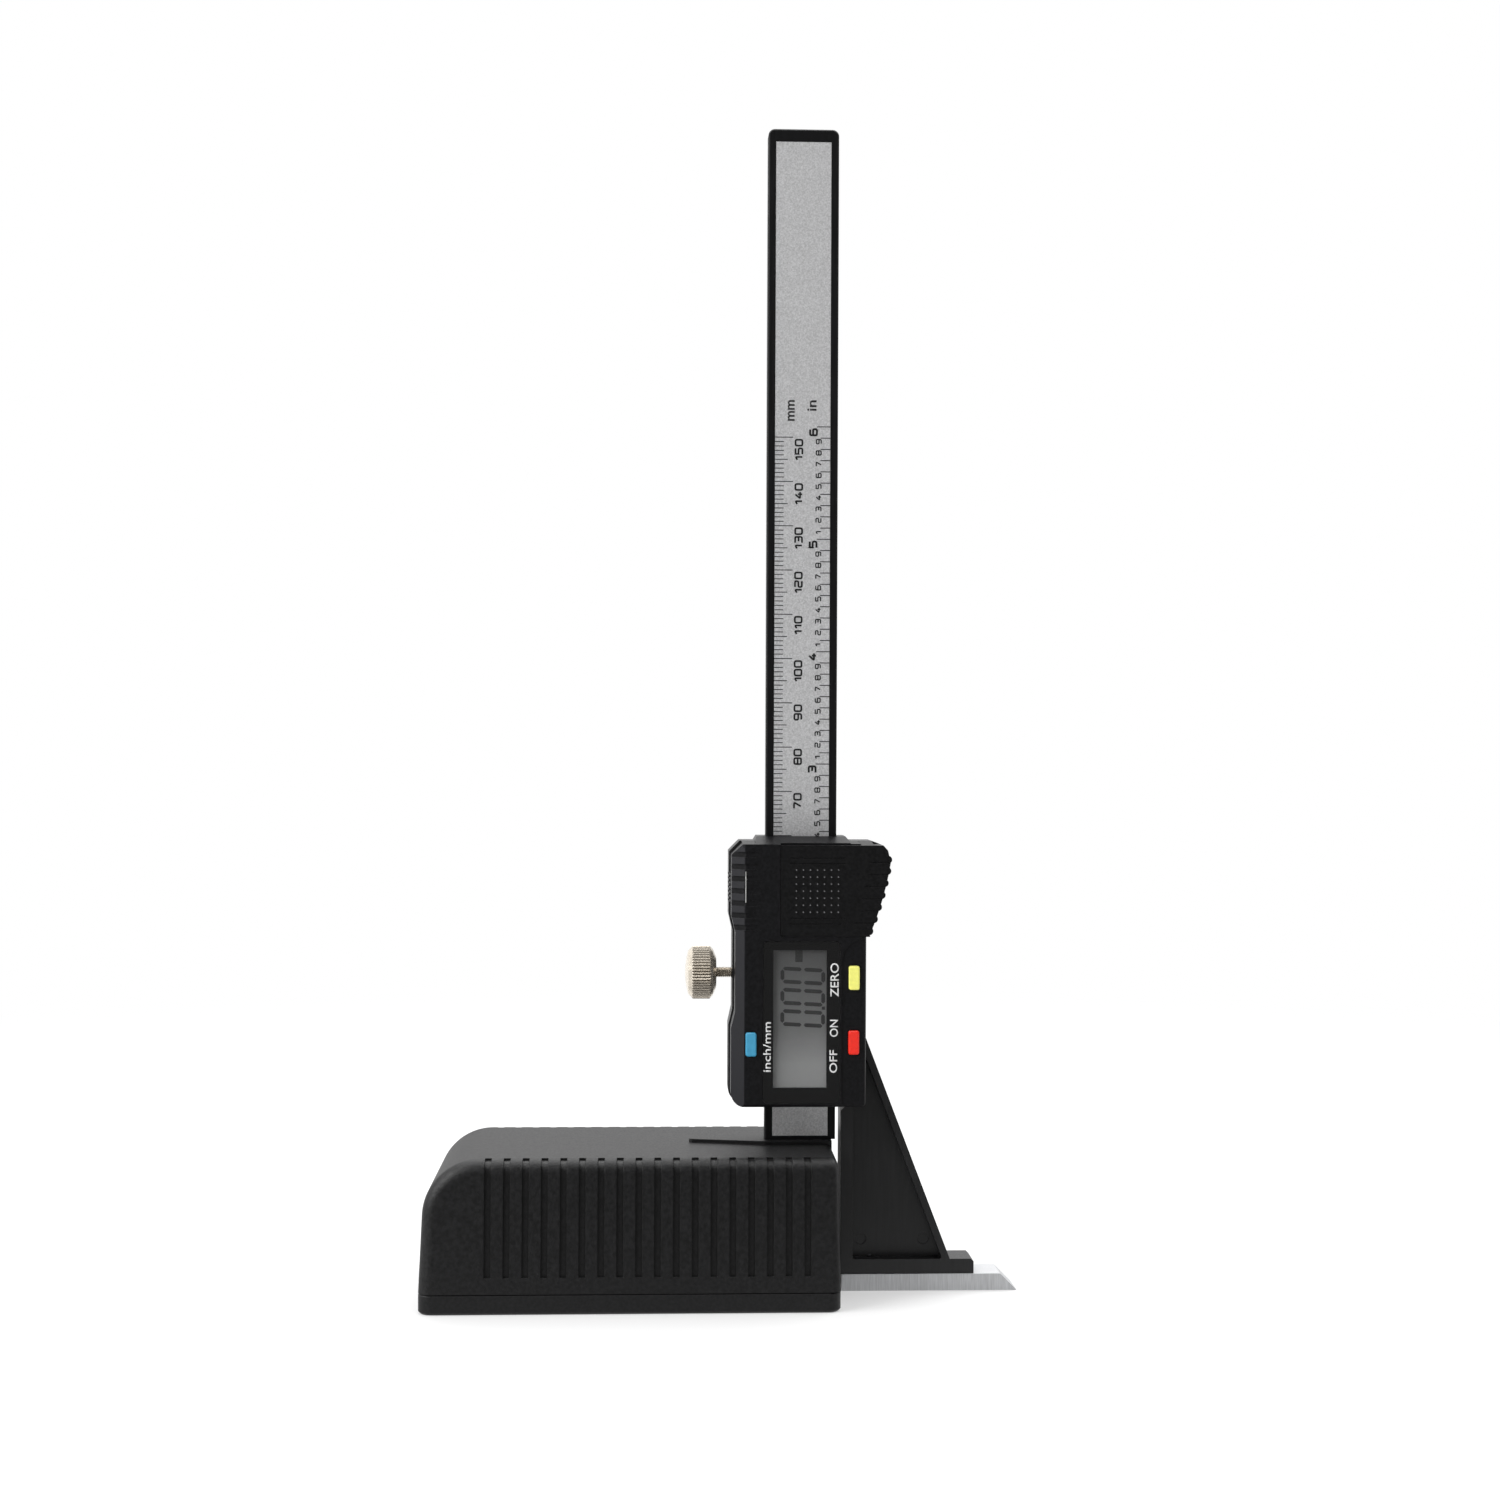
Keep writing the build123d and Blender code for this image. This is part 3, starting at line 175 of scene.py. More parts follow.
def metal(name, colour, roughness, scratch_length, scratch_width, relief, along,
          metallic=1.0):
    """A metal whose scratches reach that far along axis 0, 1 or 2, and that far across it.

    Where the two are equal they make the faint cloudiness of a plated or stamped metal."""
    finish, tree, place, shader = new_finish(name)
    widths = [scratch_width] * 3
    widths[along] = scratch_length
    stretched = add_node(tree, "ShaderNodeMapping", {
        "Vector": place, "Scale": [1 / width for width in widths]})
    lines = add_node(tree, "ShaderNodeTexNoise",
                     {"Vector": stretched.outputs["Vector"], "Scale": 1.0, "Detail": 3.0})
    base = linear(colour)
    tint = add_node(tree, "ShaderNodeValToRGB", {"Fac": lines.outputs["Fac"]})
    for stop, place_on_ramp, share in zip(tint.color_ramp.elements, (0.3, 0.7), (0.85, 1.1)):
        stop.position = place_on_ramp
        stop.color = (*[min(1, share * c) for c in base[:3]], 1)
    gloss = add_node(tree, "ShaderNodeMapRange", {
        "Value": lines.outputs["Fac"], "From Min": 0.3, "From Max": 0.7,
        "To Min": roughness - 0.06, "To Max": roughness + 0.08})
    rounded = add_node(tree, "ShaderNodeBevel", {"Radius": 0.08 * MM}, samples=4)
    skin = add_node(tree, "ShaderNodeBump", {
        "Height": lines.outputs["Fac"], "Distance": relief,
        "Normal": rounded.outputs["Normal"]})
    shader.inputs["Metallic"].default_value = metallic
    tree.links.new(tint.outputs["Color"], shader.inputs["Base Color"])
    tree.links.new(gloss.outputs["Result"], shader.inputs["Roughness"])
    tree.links.new(skin.outputs["Normal"], shader.inputs["Normal"])
    return finish


# nickel plate on sintered magnets: bright, with a soft satin blur
magnet_nickel = metal("satin_nickel_plate", "c9c6c0", roughness=0.28,
                      scratch_length=0.6 * MM, scratch_width=0.6 * MM,
                      relief=0.004 * MM, along=2)
# bright zinc on cold-headed steel: bluish grey, slightly cloudy
zinc = metal("bright_zinc_plate", "b9bdc2", roughness=0.34, scratch_length=0.4 * MM,
             scratch_width=0.4 * MM, relief=0.006 * MM, along=2)
give(magnet_nickel, "base_magnets")


def patches_of(node):
    """The lowest and highest corner of each patch of joined faces in a CAD node.

    The node's mesh is parted at its sharp edges, so one screw is four or five patches:
    the top of its head, the cone or the rim, the shank and the end."""
    bulk = bmesh.new()
    bulk.from_mesh(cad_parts[node].data)
    reached = set()
    corners = []
    for seed in bulk.verts:
        if seed in reached:
            continue
        reached.add(seed)
        front = [seed]
        found = []
        while front:
            vert = front.pop()
            found.append(vert.co.copy())
            for edge in vert.link_edges:
                other = edge.other_vert(vert)
                if other not in reached:
                    reached.add(other)
                    front.append(other)
        corners.append((Vector([min(co[i] for co in found) for i in range(3)]),
                        Vector([max(co[i] for co in found) for i in range(3)])))
    bulk.free()
    return corners


WELD = 0.0005 * MM              # corners nearer to each other than this become one


def cross_screws(node, name, finish, body, inwards, head_height, shank, cross, deep):
    """Screws in place of a CAD node's: the same outside, with a cross recess in each head.

    inwards is the way they go in, head_height is that of a flat head and 0 for a
    countersunk one, and shank is the shank's radius. cross is the recess's reach from the
    middle and deep its depth. Each patch is drawn as a screw, so one screw holds several:
    the flat patches' ones lay a disc as wide as the shank over the middle of the recess."""
    around = 32
    mouth_arm, floor_reach, floor_arm = cross / 3.2, cross / 2, cross / 4.5
    drawn = bmesh.new()
    for low, high in patches_of(node):
        size = high - low
        axis = max(range(3), key=lambda i: abs(inwards[i]))
        length = size[axis]
        head = size[(axis + 1) % 3] / 2
        cone = head - shank if not head_height else 0
        middle = (low + high) / 2
        start = middle - inwards * length / 2
        turn = inwards.to_track_quat("Z", "Y").to_matrix().to_4x4()
        place = Matrix.Translation(start) @ turn
        rings = []
        for radius, along in ((head, 0), (head, head_height), (shank, head_height + cone),
                              (shank, length)):
            if rings and (radius, along) == (head, 0):
                continue
            rings.append([drawn.verts.new(place @ Vector((
                radius * math.cos(math.tau * i / around),
                radius * math.sin(math.tau * i / around), along))) for i in range(around)])
        for first, second in zip(rings, rings[1:]):
            for i in range(around):
                j = (i + 1) % around
                drawn.faces.new((first[i], first[j], second[j], second[i]))
        drawn.faces.new(rings[-1])
        loops = []
        for reach, arm, along in ((cross, mouth_arm, 0), (floor_reach, floor_arm, deep)):
            corners = [(arm, arm), (arm, reach), (-arm, reach), (-arm, arm), (-reach, arm),
                       (-reach, -arm), (-arm, -arm), (-arm, -reach), (arm, -reach),
                       (arm, -arm), (reach, -arm), (reach, arm)]
            loops.append([drawn.verts.new(place @ Vector((x, y, along))) for x, y in corners])
        mouth, floor_of_cross = loops
        for i in range(len(mouth)):
            j = (i + 1) % len(mouth)
            drawn.faces.new((mouth[i], mouth[j], floor_of_cross[j], floor_of_cross[i]))
        drawn.faces.new(floor_of_cross)
        rim = [drawn.edges.get((ring[i], ring[(i + 1) % len(ring)]))
               for ring in (rings[0], mouth) for i in range(len(ring))]
        bmesh.ops.triangle_fill(drawn, edges=rim, use_beauty=True)
    bmesh.ops.remove_doubles(drawn, verts=drawn.verts, dist=WELD)
    bmesh.ops.recalc_face_normals(drawn, faces=drawn.faces)
    mesh = bpy.data.meshes.new(name)
    drawn.to_mesh(mesh)
    drawn.free()
    mesh.materials.append(finish)
    piece = bpy.data.objects.new(name, mesh)
    bpy.context.scene.collection.objects.link(piece)
    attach(piece, body)
    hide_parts(node)


UP = Vector((0, 0, 1))
cross_screws("base_screws", "base_cross_screws", zinc, "base", UP, head_height=0,
             shank=1.05 * MM, cross=1.5 * MM, deep=1.3 * MM)


# ---------------------------------------------------------------- beam
# The upright beam, injection-moulded from nylon filled with short fibre. The flow of
# the fibre down its length leaves fine streaks in a satin black. Two ground steel
# pins hold its tongue in the base.

def filled_nylon(name, colour, roughness, shine):
    """Satin fibre-filled nylon: streaks along Z, and a fine grain."""
    finish, tree, place, shader = new_finish(name)
    streak_width, streak_length, grain_width = 0.5 * MM, 9 * MM, 0.25 * MM
    flow = add_node(tree, "ShaderNodeMapping", {
        "Vector": place, "Scale": (1 / streak_width, 1 / streak_width, 1 / streak_length)})
    streak = add_node(tree, "ShaderNodeTexNoise",
                      {"Vector": flow.outputs["Vector"], "Scale": 1.0, "Detail": 3.0})
    grain = add_node(tree, "ShaderNodeTexNoise", {"Vector": place, "Scale": 1 / grain_width})
    base = linear(colour)
    tint = add_node(tree, "ShaderNodeValToRGB", {"Fac": streak.outputs["Fac"]})
    for stop, place_on_ramp, share in zip(tint.color_ramp.elements, (0.35, 0.7), (0.8, 1.3)):
        stop.position = place_on_ramp
        stop.color = (*[share * c for c in base[:3]], 1)
    gloss = add_node(tree, "ShaderNodeMapRange", {
        "Value": streak.outputs["Fac"], "From Min": 0.3, "From Max": 0.7,
        "To Min": roughness - 0.05, "To Max": roughness + 0.07})
    rounded = add_node(tree, "ShaderNodeBevel", {"Radius": 0.15 * MM}, samples=4)
    skin = add_node(tree, "ShaderNodeBump", {
        "Height": grain.outputs["Fac"], "Distance": 0.01 * MM,
        "Normal": rounded.outputs["Normal"]})
    shader.inputs["Specular IOR Level"].default_value = shine
    tree.links.new(tint.outputs["Color"], shader.inputs["Base Color"])
    tree.links.new(gloss.outputs["Result"], shader.inputs["Roughness"])
    tree.links.new(skin.outputs["Normal"], shader.inputs["Normal"])
    return finish


# filled nylon from a polished mould: satin, with the fibre's flow down its length
beam_nylon = filled_nylon("satin_filled_nylon", "101011", roughness=0.42, shine=0.2)
# centreless-ground steel: bright, with fine rings
ground_pin = metal("ground_steel_pin", "c2c4c6", roughness=0.22, scratch_length=0.05 * MM,
                   scratch_width=0.6 * MM, relief=0.002 * MM, along=1)
give(beam_nylon, "beam")
give(ground_pin, "beam_pins")


# ---------------------------------------------------------------- stator strip
# The capacitive track that the head reads: green glass-epoxy laminate, bonded in the
# beam's pocket under the label, so that only its edge could ever show.

# solder mask over woven glass: a glossy green with a faint square weave
laminate, tree, place, shader = new_finish("solder_masked_laminate")
WEAVE = 0.8 * MM                # from one yarn of the glass to the next
weave = add_node(tree, "ShaderNodeTexBrick", {
    "Vector": place, "Scale": 1 / WEAVE, "Color1": linear("0f4a26"),
    "Color2": linear("125430"), "Mortar": linear("0c3a1e")}, offset=0.5)
tree.links.new(weave.outputs["Color"], shader.inputs["Base Color"])
shader.inputs["Roughness"].default_value = 0.32
give(laminate, "stator_strip", "circuit_board")


# ---------------------------------------------------------------- scale label
# A polyester film, coated satin silver and bonded in the beam's pocket. The scales are
# screen-printed on it in black: millimetres down the left edge and inches down the
# right, with their numbers reading upwards.

film, tree, place, shader = new_finish("satin_silver_film")
# the flakes of the silver coat are far finer than this, but would vanish
FLAKE = 0.3 * MM
flake = add_node(tree, "ShaderNodeTexNoise",
                 {"Vector": place, "Scale": 1 / FLAKE, "Detail": 2.0})
silver = add_node(tree, "ShaderNodeValToRGB", {"Fac": flake.outputs["Fac"]})
silver.color_ramp.elements[0].position = 0.3
silver.color_ramp.elements[0].color = linear("b2b2b3")
silver.color_ramp.elements[1].position = 0.7
silver.color_ramp.elements[1].color = linear("d4d4d5")
sparkle = add_node(tree, "ShaderNodeBump",
                   {"Height": flake.outputs["Fac"], "Distance": 0.006 * MM})
tree.links.new(silver.outputs["Color"], shader.inputs["Base Color"])
tree.links.new(sparkle.outputs["Normal"], shader.inputs["Normal"])
shader.inputs["Metallic"].default_value = 0.35
shader.inputs["Roughness"].default_value = 0.5
give(film, "scale_label")

PRINT_THICKNESS = 0.012 * MM


def polygon(sheet, points):
    """One printed patch."""
    sheet.faces.new([sheet.verts.new((x, 0, z)) for x, z in points])


def oblong(sheet, x0, x1, z0, z1):
    """A printed rectangle between two corners."""
    polygon(sheet, [(x0, z0), (x1, z0), (x1, z1), (x0, z1)])


def print_on(sheet, name, y, finish, body):
    """Lays a drawing on a face that looks to the front at depth y, and rides it."""
    bmesh.ops.remove_doubles(sheet, verts=sheet.verts, dist=WELD)
    bmesh.ops.recalc_face_normals(sheet, faces=sheet.faces)
    mesh = bpy.data.meshes.new(name)
    for face in sheet.faces:
        if face.normal.y > 0:
            face.normal_flip()
    ink = bmesh.ops.extrude_face_region(sheet, geom=sheet.faces[:])
    raised = [item for item in ink["geom"] if isinstance(item, bmesh.types.BMVert)]
    bmesh.ops.translate(sheet, verts=raised, vec=(0, -PRINT_THICKNESS, 0))
    bmesh.ops.recalc_face_normals(sheet, faces=sheet.faces)
    sheet.to_mesh(mesh)
    sheet.free()
    mesh.materials.append(finish)
    piece = bpy.data.objects.new(name, mesh)
    piece.location.y = y
    bpy.context.scene.collection.objects.link(piece)
    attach(piece, body)


ARC_STEPS = 3                   # straight runs that stand for one rounded corner
LEAST_MITRE = 0.3               # keeps the outer corner of a sharp turn from running off


def stroke(sheet, points, width, closed, rounding):
    """A printed line of even width, its corners rounded from that far before each."""
    corners = [Vector(point) for point in points]
    path = []
    for i, corner in enumerate(corners):
        if not closed and i in (0, len(corners) - 1):
            path.append(corner)
            continue
        before, after = corners[i - 1], corners[(i + 1) % len(corners)]
        start = corner + (before - corner).normalized() * rounding
        end = corner + (after - corner).normalized() * rounding
        for step in range(ARC_STEPS + 1):
            t = step / ARC_STEPS
            path.append((1 - t) ** 2 * start + 2 * t * (1 - t) * corner + t * t * end)
    rims = []
    for i, point in enumerate(path):
        before = path[i - 1] if closed or i else None
        after = path[(i + 1) % len(path)] if closed or i < len(path) - 1 else None
        arrive = (point - before).normalized() if before is not None else None
        leave = (after - point).normalized() if after is not None else None
        arrive = arrive or leave
        leave = leave or arrive
        across = (arrive + leave).normalized().orthogonal()
        reach = width / 2 / max(LEAST_MITRE, across.dot(leave.orthogonal()))
        rims.append([sheet.verts.new((point.x + side * reach * across.x, 0,
                                      point.y + side * reach * across.y)) for side in (1, -1)])
    count = len(rims) if closed else len(rims) - 1
    for i in range(count):
        (a, b), (c, d) = rims[i], rims[(i + 1) % len(rims)]
        sheet.faces.new((a, b, d, c))


NARROW = 0.62                   # share of a numeral's width that a 1 takes
ROUNDING = 0.2                  # how far a corner's round reaches, as a share of that width


def numeral_strokes(digit, t):
    """The strokes of one square-shouldered numeral, in a cell one wide and one high.

    Each is a list of points and whether it closes on itself; t is half the width of the
    line, as a share of the cell's width."""
    middle = 0.5
    loop = [(0, 0), (1, 0), (1, 1), (0, 1)]
    return {
        "0": [(loop, True)],
        "1": [([(0, 0.72), (NARROW - t, 1), (NARROW - t, 0)], False)],
        "2": [([(0, 1), (1, 1), (1, middle), (0, middle), (0, 0), (1, 0)], False)],
        "3": [([(0, 1), (1, 1), (1, 0), (0, 0)], False),
              ([(0.25, middle), (1 - t, middle)], False)],
        "4": [([(0.7, 1), (0, 0.3), (1.1, 0.3)], False),
              ([(0.72, 0.3 + t), (0.72, 0.62)], False),
              ([(0.72, 0.3 - t), (0.72, 0)], False)],
        "5": [([(1, 1), (0, 1), (0, 0.56), (1, 0.56), (1, 0), (0, 0)], False)],
        "6": [([(0.95, 1), (0, 1), (0, 0), (1, 0), (1, 0.56), (t, 0.56)], False)],
        "7": [([(0, 1), (1, 1), (0.35, 0)], False)],
        "8": [(loop, True), ([(t, middle), (1 - t, middle)], False)],
        "9": [([(0.05, 0), (1, 0), (1, 1), (0, 1), (0, 0.44), (1 - t, 0.44)], False)],
    }[digit]


def number_upwards(sheet, text, left, foot, high, wide, line, gap):
    """A number that reads upwards: its top edge is at x = left, its start at z = foot."""
    inner_wide = wide - line
    inner_high = high - line
    for digit in text:
        for points, closed in numeral_strokes(digit, line / 2 / wide):
            path = [(left + line / 2 + (1 - v) * inner_high, foot + line / 2 + u * inner_wide)
                    for u, v in points]
            stroke(sheet, path, line, closed, ROUNDING * wide)
        foot += (NARROW if digit == "1" else 1) * wide + gap


CAPITALS = 0.729                # height of a capital as a share of the face's size


def word(text, high, bold):
    """A word in the plain built-in face, capitals that high, as a mesh from the origin."""
    curve = bpy.data.curves.new("word", "FONT")
    curve.body = text
    curve.size = high / CAPITALS
    curve.offset = bold
    curve.resolution_u = 3
    holder = bpy.data.objects.new("word", curve)
    mesh = bpy.data.meshes.new_from_object(holder)
    bpy.data.objects.remove(holder)
    bpy.data.curves.remove(curve)
    return mesh


def word_upwards(sheet, text, left, right, foot, head, bold):
    """A word that reads upwards and fills x from left to right and z from foot to head."""
    mesh = word(text, right - left, bold)
    xs = [v.co.x for v in mesh.vertices]
    ys = [v.co.y for v in mesh.vertices]
    along = (head - foot) / (max(xs) - min(xs))
    across = (right - left) / (max(ys) - min(ys))
    turn = Matrix(((0, -across, 0, right + min(ys) * across),
                   (0, 0, 0, 0),
                   (along, 0, 0, foot - min(xs) * along),
                   (0, 0, 0, 1)))
    mesh.transform(turn)
    sheet.from_mesh(mesh)
    bpy.data.meshes.remove(mesh)


label_low, label_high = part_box("scale_label")
zero_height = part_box("front_housing")[0].z      # the head rests at the scale's zero

# black screen ink: dense and slightly glossy, so the marks stay dark at any angle
ink, tree, place, shader = new_finish("black_screen_ink")
SPECK = 0.3 * MM                # from one glossier place in the ink to the next
speck = add_node(tree, "ShaderNodeTexNoise", {"Vector": place, "Scale": 1 / SPECK})
density = add_node(tree, "ShaderNodeMapRange", {
    "Value": speck.outputs["Fac"], "To Min": 0.35, "To Max": 0.5})
tree.links.new(density.outputs["Result"], shader.inputs["Roughness"])
shader.inputs["Base Color"].default_value = linear("131314")

scale = bmesh.new()
LAST_MILLIMETRE = 150
INCH, LAST_TENTH = 25.4 * MM, 60
MARK = 0.2 * MM                 # width of a mark, and below, the lengths of marks
TEN_MARK, FIVE_MARK, ONE_MARK = 4.1 * MM, 2.9 * MM, 2.0 * MM
INCH_MARK, TENTH_MARK = 3.0 * MM, 2.2 * MM
for millimetre in range(LAST_MILLIMETRE + 1):
    z = zero_height + millimetre * MM
    reach = (TEN_MARK if millimetre % 10 == 0 else
             FIVE_MARK if millimetre % 5 == 0 else ONE_MARK)
    oblong(scale, label_low.x, label_low.x + reach, z - MARK / 2, z + MARK / 2)
for tenth in range(LAST_TENTH + 1):
    z = zero_height + tenth * INCH / 10
    reach = INCH_MARK if tenth % 10 == 0 else TENTH_MARK
    oblong(scale, label_high.x - reach, label_high.x, z - MARK / 2, z + MARK / 2)

# The numerals for each ten millimetres, each inch and each tenth: their size, where their
# top edge is across the film, and how far below its mark a number ends or starts
TENS = dict(high=1.96 * MM, wide=1.74 * MM, line=0.41 * MM, gap=0.2 * MM)
INCHES = dict(high=2.0 * MM, wide=1.85 * MM, line=0.46 * MM, gap=0)
TENTHS = dict(high=1.38 * MM, wide=1.22 * MM, line=0.28 * MM, gap=0)
TENS_LEFT, TENS_END = -1.82 * MM, 0.35 * MM
INCHES_LEFT, INCHES_START = 1.45 * MM, 2.15 * MM
TENTHS_LEFT, TENTHS_START = 2.95 * MM, 1.42 * MM
for millimetre in range(10, LAST_MILLIMETRE + 1, 10):
    text = str(millimetre)
    wide, gap = TENS["wide"], TENS["gap"]
    length = len(text) * (wide + gap) - gap - text.count("1") * (1 - NARROW) * wide
    head = zero_height + millimetre * MM - TENS_END
    number_upwards(scale, text, TENS_LEFT, head - length, **TENS)
for tenth in range(1, LAST_TENTH + 1):
    z = zero_height + tenth * INCH / 10
    if tenth % 10 == 0:
        number_upwards(scale, str(tenth // 10), INCHES_LEFT, z - INCHES_START, **INCHES)
    else:
        number_upwards(scale, str(tenth % 10), TENTHS_LEFT, z - TENTHS_START, **TENTHS)

UNITS_HEAD, UNITS_BOLD = 200.8 * MM, 0.05 * MM
for text, left, right, foot in (("mm", -3.44 * MM, -1.84 * MM, 196.1 * MM),
                                ("in", 1.0 * MM, 3.1 * MM, 198.4 * MM)):
    word_upwards(scale, text, left, right, foot, UNITS_HEAD, UNITS_BOLD)
print_on(scale, "scale_print", label_low.y, ink, "base")


# ---------------------------------------------------------------- slider frame
# The rear half of the head, in one moulding with the ribbed bracket: the same filled
# nylon as the beam. The gib strip, the nut and the pad in it are brass, and four screws
# from behind hold the front housing to it.

# filled nylon from a grained mould: greyer than the beam, and with more sheen on its sides
frame_nylon = filled_nylon("dull_filled_nylon", "1a1a1b", roughness=0.4, shine=0.5)
give(frame_nylon, "slider_frame")
# rolled and turned brass: warm yellow with lines along the strip
gib_brass = metal("rolled_brass", "c9a25a", roughness=0.3, scratch_length=2 * MM,
                  scratch_width=0.12 * MM, relief=0.003 * MM, along=2)
give(gib_brass, "gib_strip", "lock_nut", "lock_pad")

FORWARDS = Vector((0, -1, 0))
cross_screws("housing_screws", "housing_cross_screws", zinc, "slider", FORWARDS,
             head_height=1.6 * MM, shank=0.95 * MM, cross=1.2 * MM, deep=0.9 * MM)


# ---------------------------------------------------------------- circuit board
# What lies behind the front: the laminate board with three moulded dome switches
# soldered to it, the display, a cell of liquid crystal between films, and the strips of
# layered rubber pressed between the two.

# switch bodies moulded in nylon: dull and dark grey
switch_nylon = moulded("switch_nylon", "2b2b2d", roughness=0.5, grain=0.2 * MM,
                       relief=0.005 * MM, edge=0.05 * MM)
give(switch_nylon, "tact_switches")

# silicone rubber in conducting and clear layers: dull, in dark and pale bands. The layers
# are some 0.1 mm thick, too fine to show, so they are drawn coarser
layered_rubber, tree, place, shader = new_finish("layered_elastomer")
LAYERS = 1.2 * MM
layers = add_node(tree, "ShaderNodeTexWave", {"Vector": place, "Scale": 1 / LAYERS},
                  bands_direction="Z")
dark_light = add_node(tree, "ShaderNodeValToRGB", {"Fac": layers.outputs["Fac"]})
dark_light.color_ramp.elements[0].color = linear("1b1b1b")
dark_light.color_ramp.elements[1].color = linear("c8c4b4")
tree.links.new(dark_light.outputs["Color"], shader.inputs["Base Color"])
shader.inputs["Roughness"].default_value = 0.6
give(layered_rubber, "zebra_strips")

# a reflective display: frosted grey film, with painted shade that darkens it towards its top
# edge
panel, tree, place, shader = new_finish("reflective_display_film")
FROST = 0.2 * MM                # width of the film's frosting
height = add_node(tree, "ShaderNodeSeparateXYZ", {"Vector": place}).outputs["Z"]
lcd_low, lcd_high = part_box("lcd_panel")
# painted shade: the grey darkens from the display's foot to its top
shade = add_node(tree, "ShaderNodeMapRange", {
    "Value": height, "From Min": lcd_low.z, "From Max": lcd_high.z})
grey = add_node(tree, "ShaderNodeValToRGB", {"Fac": shade.outputs["Result"]})
grey.color_ramp.elements[0].position = 0.22
grey.color_ramp.elements[0].color = linear("bcbdbd")
grey.color_ramp.elements[1].color = linear("646565")
grey.color_ramp.elements.new(0.45).color = linear("8c8d8d")
frost = add_node(tree, "ShaderNodeTexNoise", {"Vector": place, "Scale": 1 / FROST})
matt = add_node(tree, "ShaderNodeBump", {"Height": frost.outputs["Fac"],
                                        "Distance": 0.006 * MM})
tree.links.new(grey.outputs["Color"], shader.inputs["Base Color"])
tree.links.new(matt.outputs["Normal"], shader.inputs["Normal"])
shader.inputs["Roughness"].default_value = 0.45
give(panel, "lcd_panel")

# the lit segments: dark grey rather than black, as liquid crystal looks from in front
segment_grey, tree, place, shader = new_finish("liquid_crystal_grey")
PATCH = 0.5 * MM                # from one darker patch to the next
mottle = add_node(tree, "ShaderNodeTexNoise", {"Vector": place, "Scale": 1 / PATCH})
depth = add_node(tree, "ShaderNodeValToRGB", {"Fac": mottle.outputs["Fac"]})
depth.color_ramp.elements[0].color = linear("232424")
depth.color_ramp.elements[1].color = linear("323333")
tree.links.new(depth.outputs["Color"], shader.inputs["Base Color"])
shader.inputs["Roughness"].default_value = 0.5

SEGMENT = 0.85 * MM             # width of a segment
SEGMENT_GAP = 0.22 * MM
DIGIT_TOP, DIGIT_FOOT = -4.96 * MM, 4.98 * MM   # across the display, as it reads upwards
DIGIT_WIDE = 3.75 * MM
DIGIT_PITCH = 4.72 * MM
DIGIT_SLANT = 0.055


def digit_segments(sheet, start, lit):
    """One seven-segment digit that reads upwards from z = start; lit names a to f."""
    high = DIGIT_FOOT - DIGIT_TOP
    half = SEGMENT / 2
    middle = high / 2

    def bar(u0, u1, v):
        """A segment across the digit, at height v."""
        return [(u0 + half, v - half), (u1 - half, v - half), (u1, v), (u1 - half, v + half),
                (u0 + half, v + half), (u0, v)]

    def post(u, v0, v1):
        """A segment up the digit, at place u."""
        return [(u - half, v0 + half), (u, v0), (u + half, v0 + half), (u + half, v1 - half),
                (u, v1), (u - half, v1 - half)]

    near, far = half + SEGMENT_GAP, DIGIT_WIDE - half - SEGMENT_GAP
    lower = (half + SEGMENT_GAP / 2, middle - SEGMENT_GAP)
    upper = (middle + SEGMENT_GAP, high - half - SEGMENT_GAP / 2)
    shapes = {
        "a": bar(near, far, high - half),
        "b": post(DIGIT_WIDE - half, *upper),
        "c": post(DIGIT_WIDE - half, *lower),
        "d": bar(near, far, half),
        "e": post(half, *lower),
        "f": post(half, *upper),
    }
    for name in lit:
        polygon(sheet, [(DIGIT_FOOT - v, start + u + DIGIT_SLANT * v) for u, v in shapes[name]])


# The reading, three noughts, with its point after the first and a dash at the far end
FIRST_DIGIT = 59.9 * MM
POINT, POINT_BEFORE_SECOND = 0.7 * MM, 0.65 * MM
digits = bmesh.new()
for digit_place in range(3):
    digit_segments(digits, FIRST_DIGIT + digit_place * DIGIT_PITCH, "abcdef")
point_foot = FIRST_DIGIT + DIGIT_PITCH - POINT_BEFORE_SECOND
oblong(digits, DIGIT_FOOT - POINT, DIGIT_FOOT, point_foot, point_foot + POINT)
oblong(digits, x0=-1.7 * MM, x1=-0.05 * MM, z0=74.6 * MM, z1=77.3 * MM)
print_on(digits, "display_digits", lcd_low.y, segment_grey, "slider")


# ---------------------------------------------------------------- front housing
# The front half of the head, moulded in ABS, with a clear polycarbonate window set
# flush in it. The window is printed black from behind, apart from the display's
# opening, and the words beside the buttons are printed in white.

# ABS from a finely eroded mould: a close, even matt with little shine
housing_abs = moulded("fine_matt_black_abs", "131315", roughness=0.42, grain=0.3 * MM,
                      relief=0.014 * MM, edge=0.15 * MM, shine=0.2)
give(housing_abs, "front_housing")


def rub(finish, outward, start, full, colour):
    """Paints a highlight into a finish: turns it to another colour where a point lies beyond
    start along outward.
    """
    tree = finish.node_tree
    shader = find_node(finish, "BSDF_PRINCIPLED")
    place = find_node(finish, "TEX_COORD").outputs["Object"]
    reached = add_node(tree, "ShaderNodeVectorMath", {0: place, 1: outward},
                       operation="DOT_PRODUCT")
    highlight_share = add_node(tree, "ShaderNodeMapRange", {
        "Value": reached.outputs["Value"], "From Min": start, "From Max": full})
    before_highlight = shader.inputs["Base Color"].links[0].from_socket
    # painted highlight: the colour is mixed paler beyond start
    highlighted_colour = add_node(tree, "ShaderNodeMix", {
        MIX_SHARE: highlight_share.outputs["Result"], MIX_FIRST: before_highlight, MIX_SECOND: linear(colour)},
                    data_type="RGBA")
    tree.links.new(highlighted_colour.outputs[MIX_RESULT], shader.inputs["Base Color"])
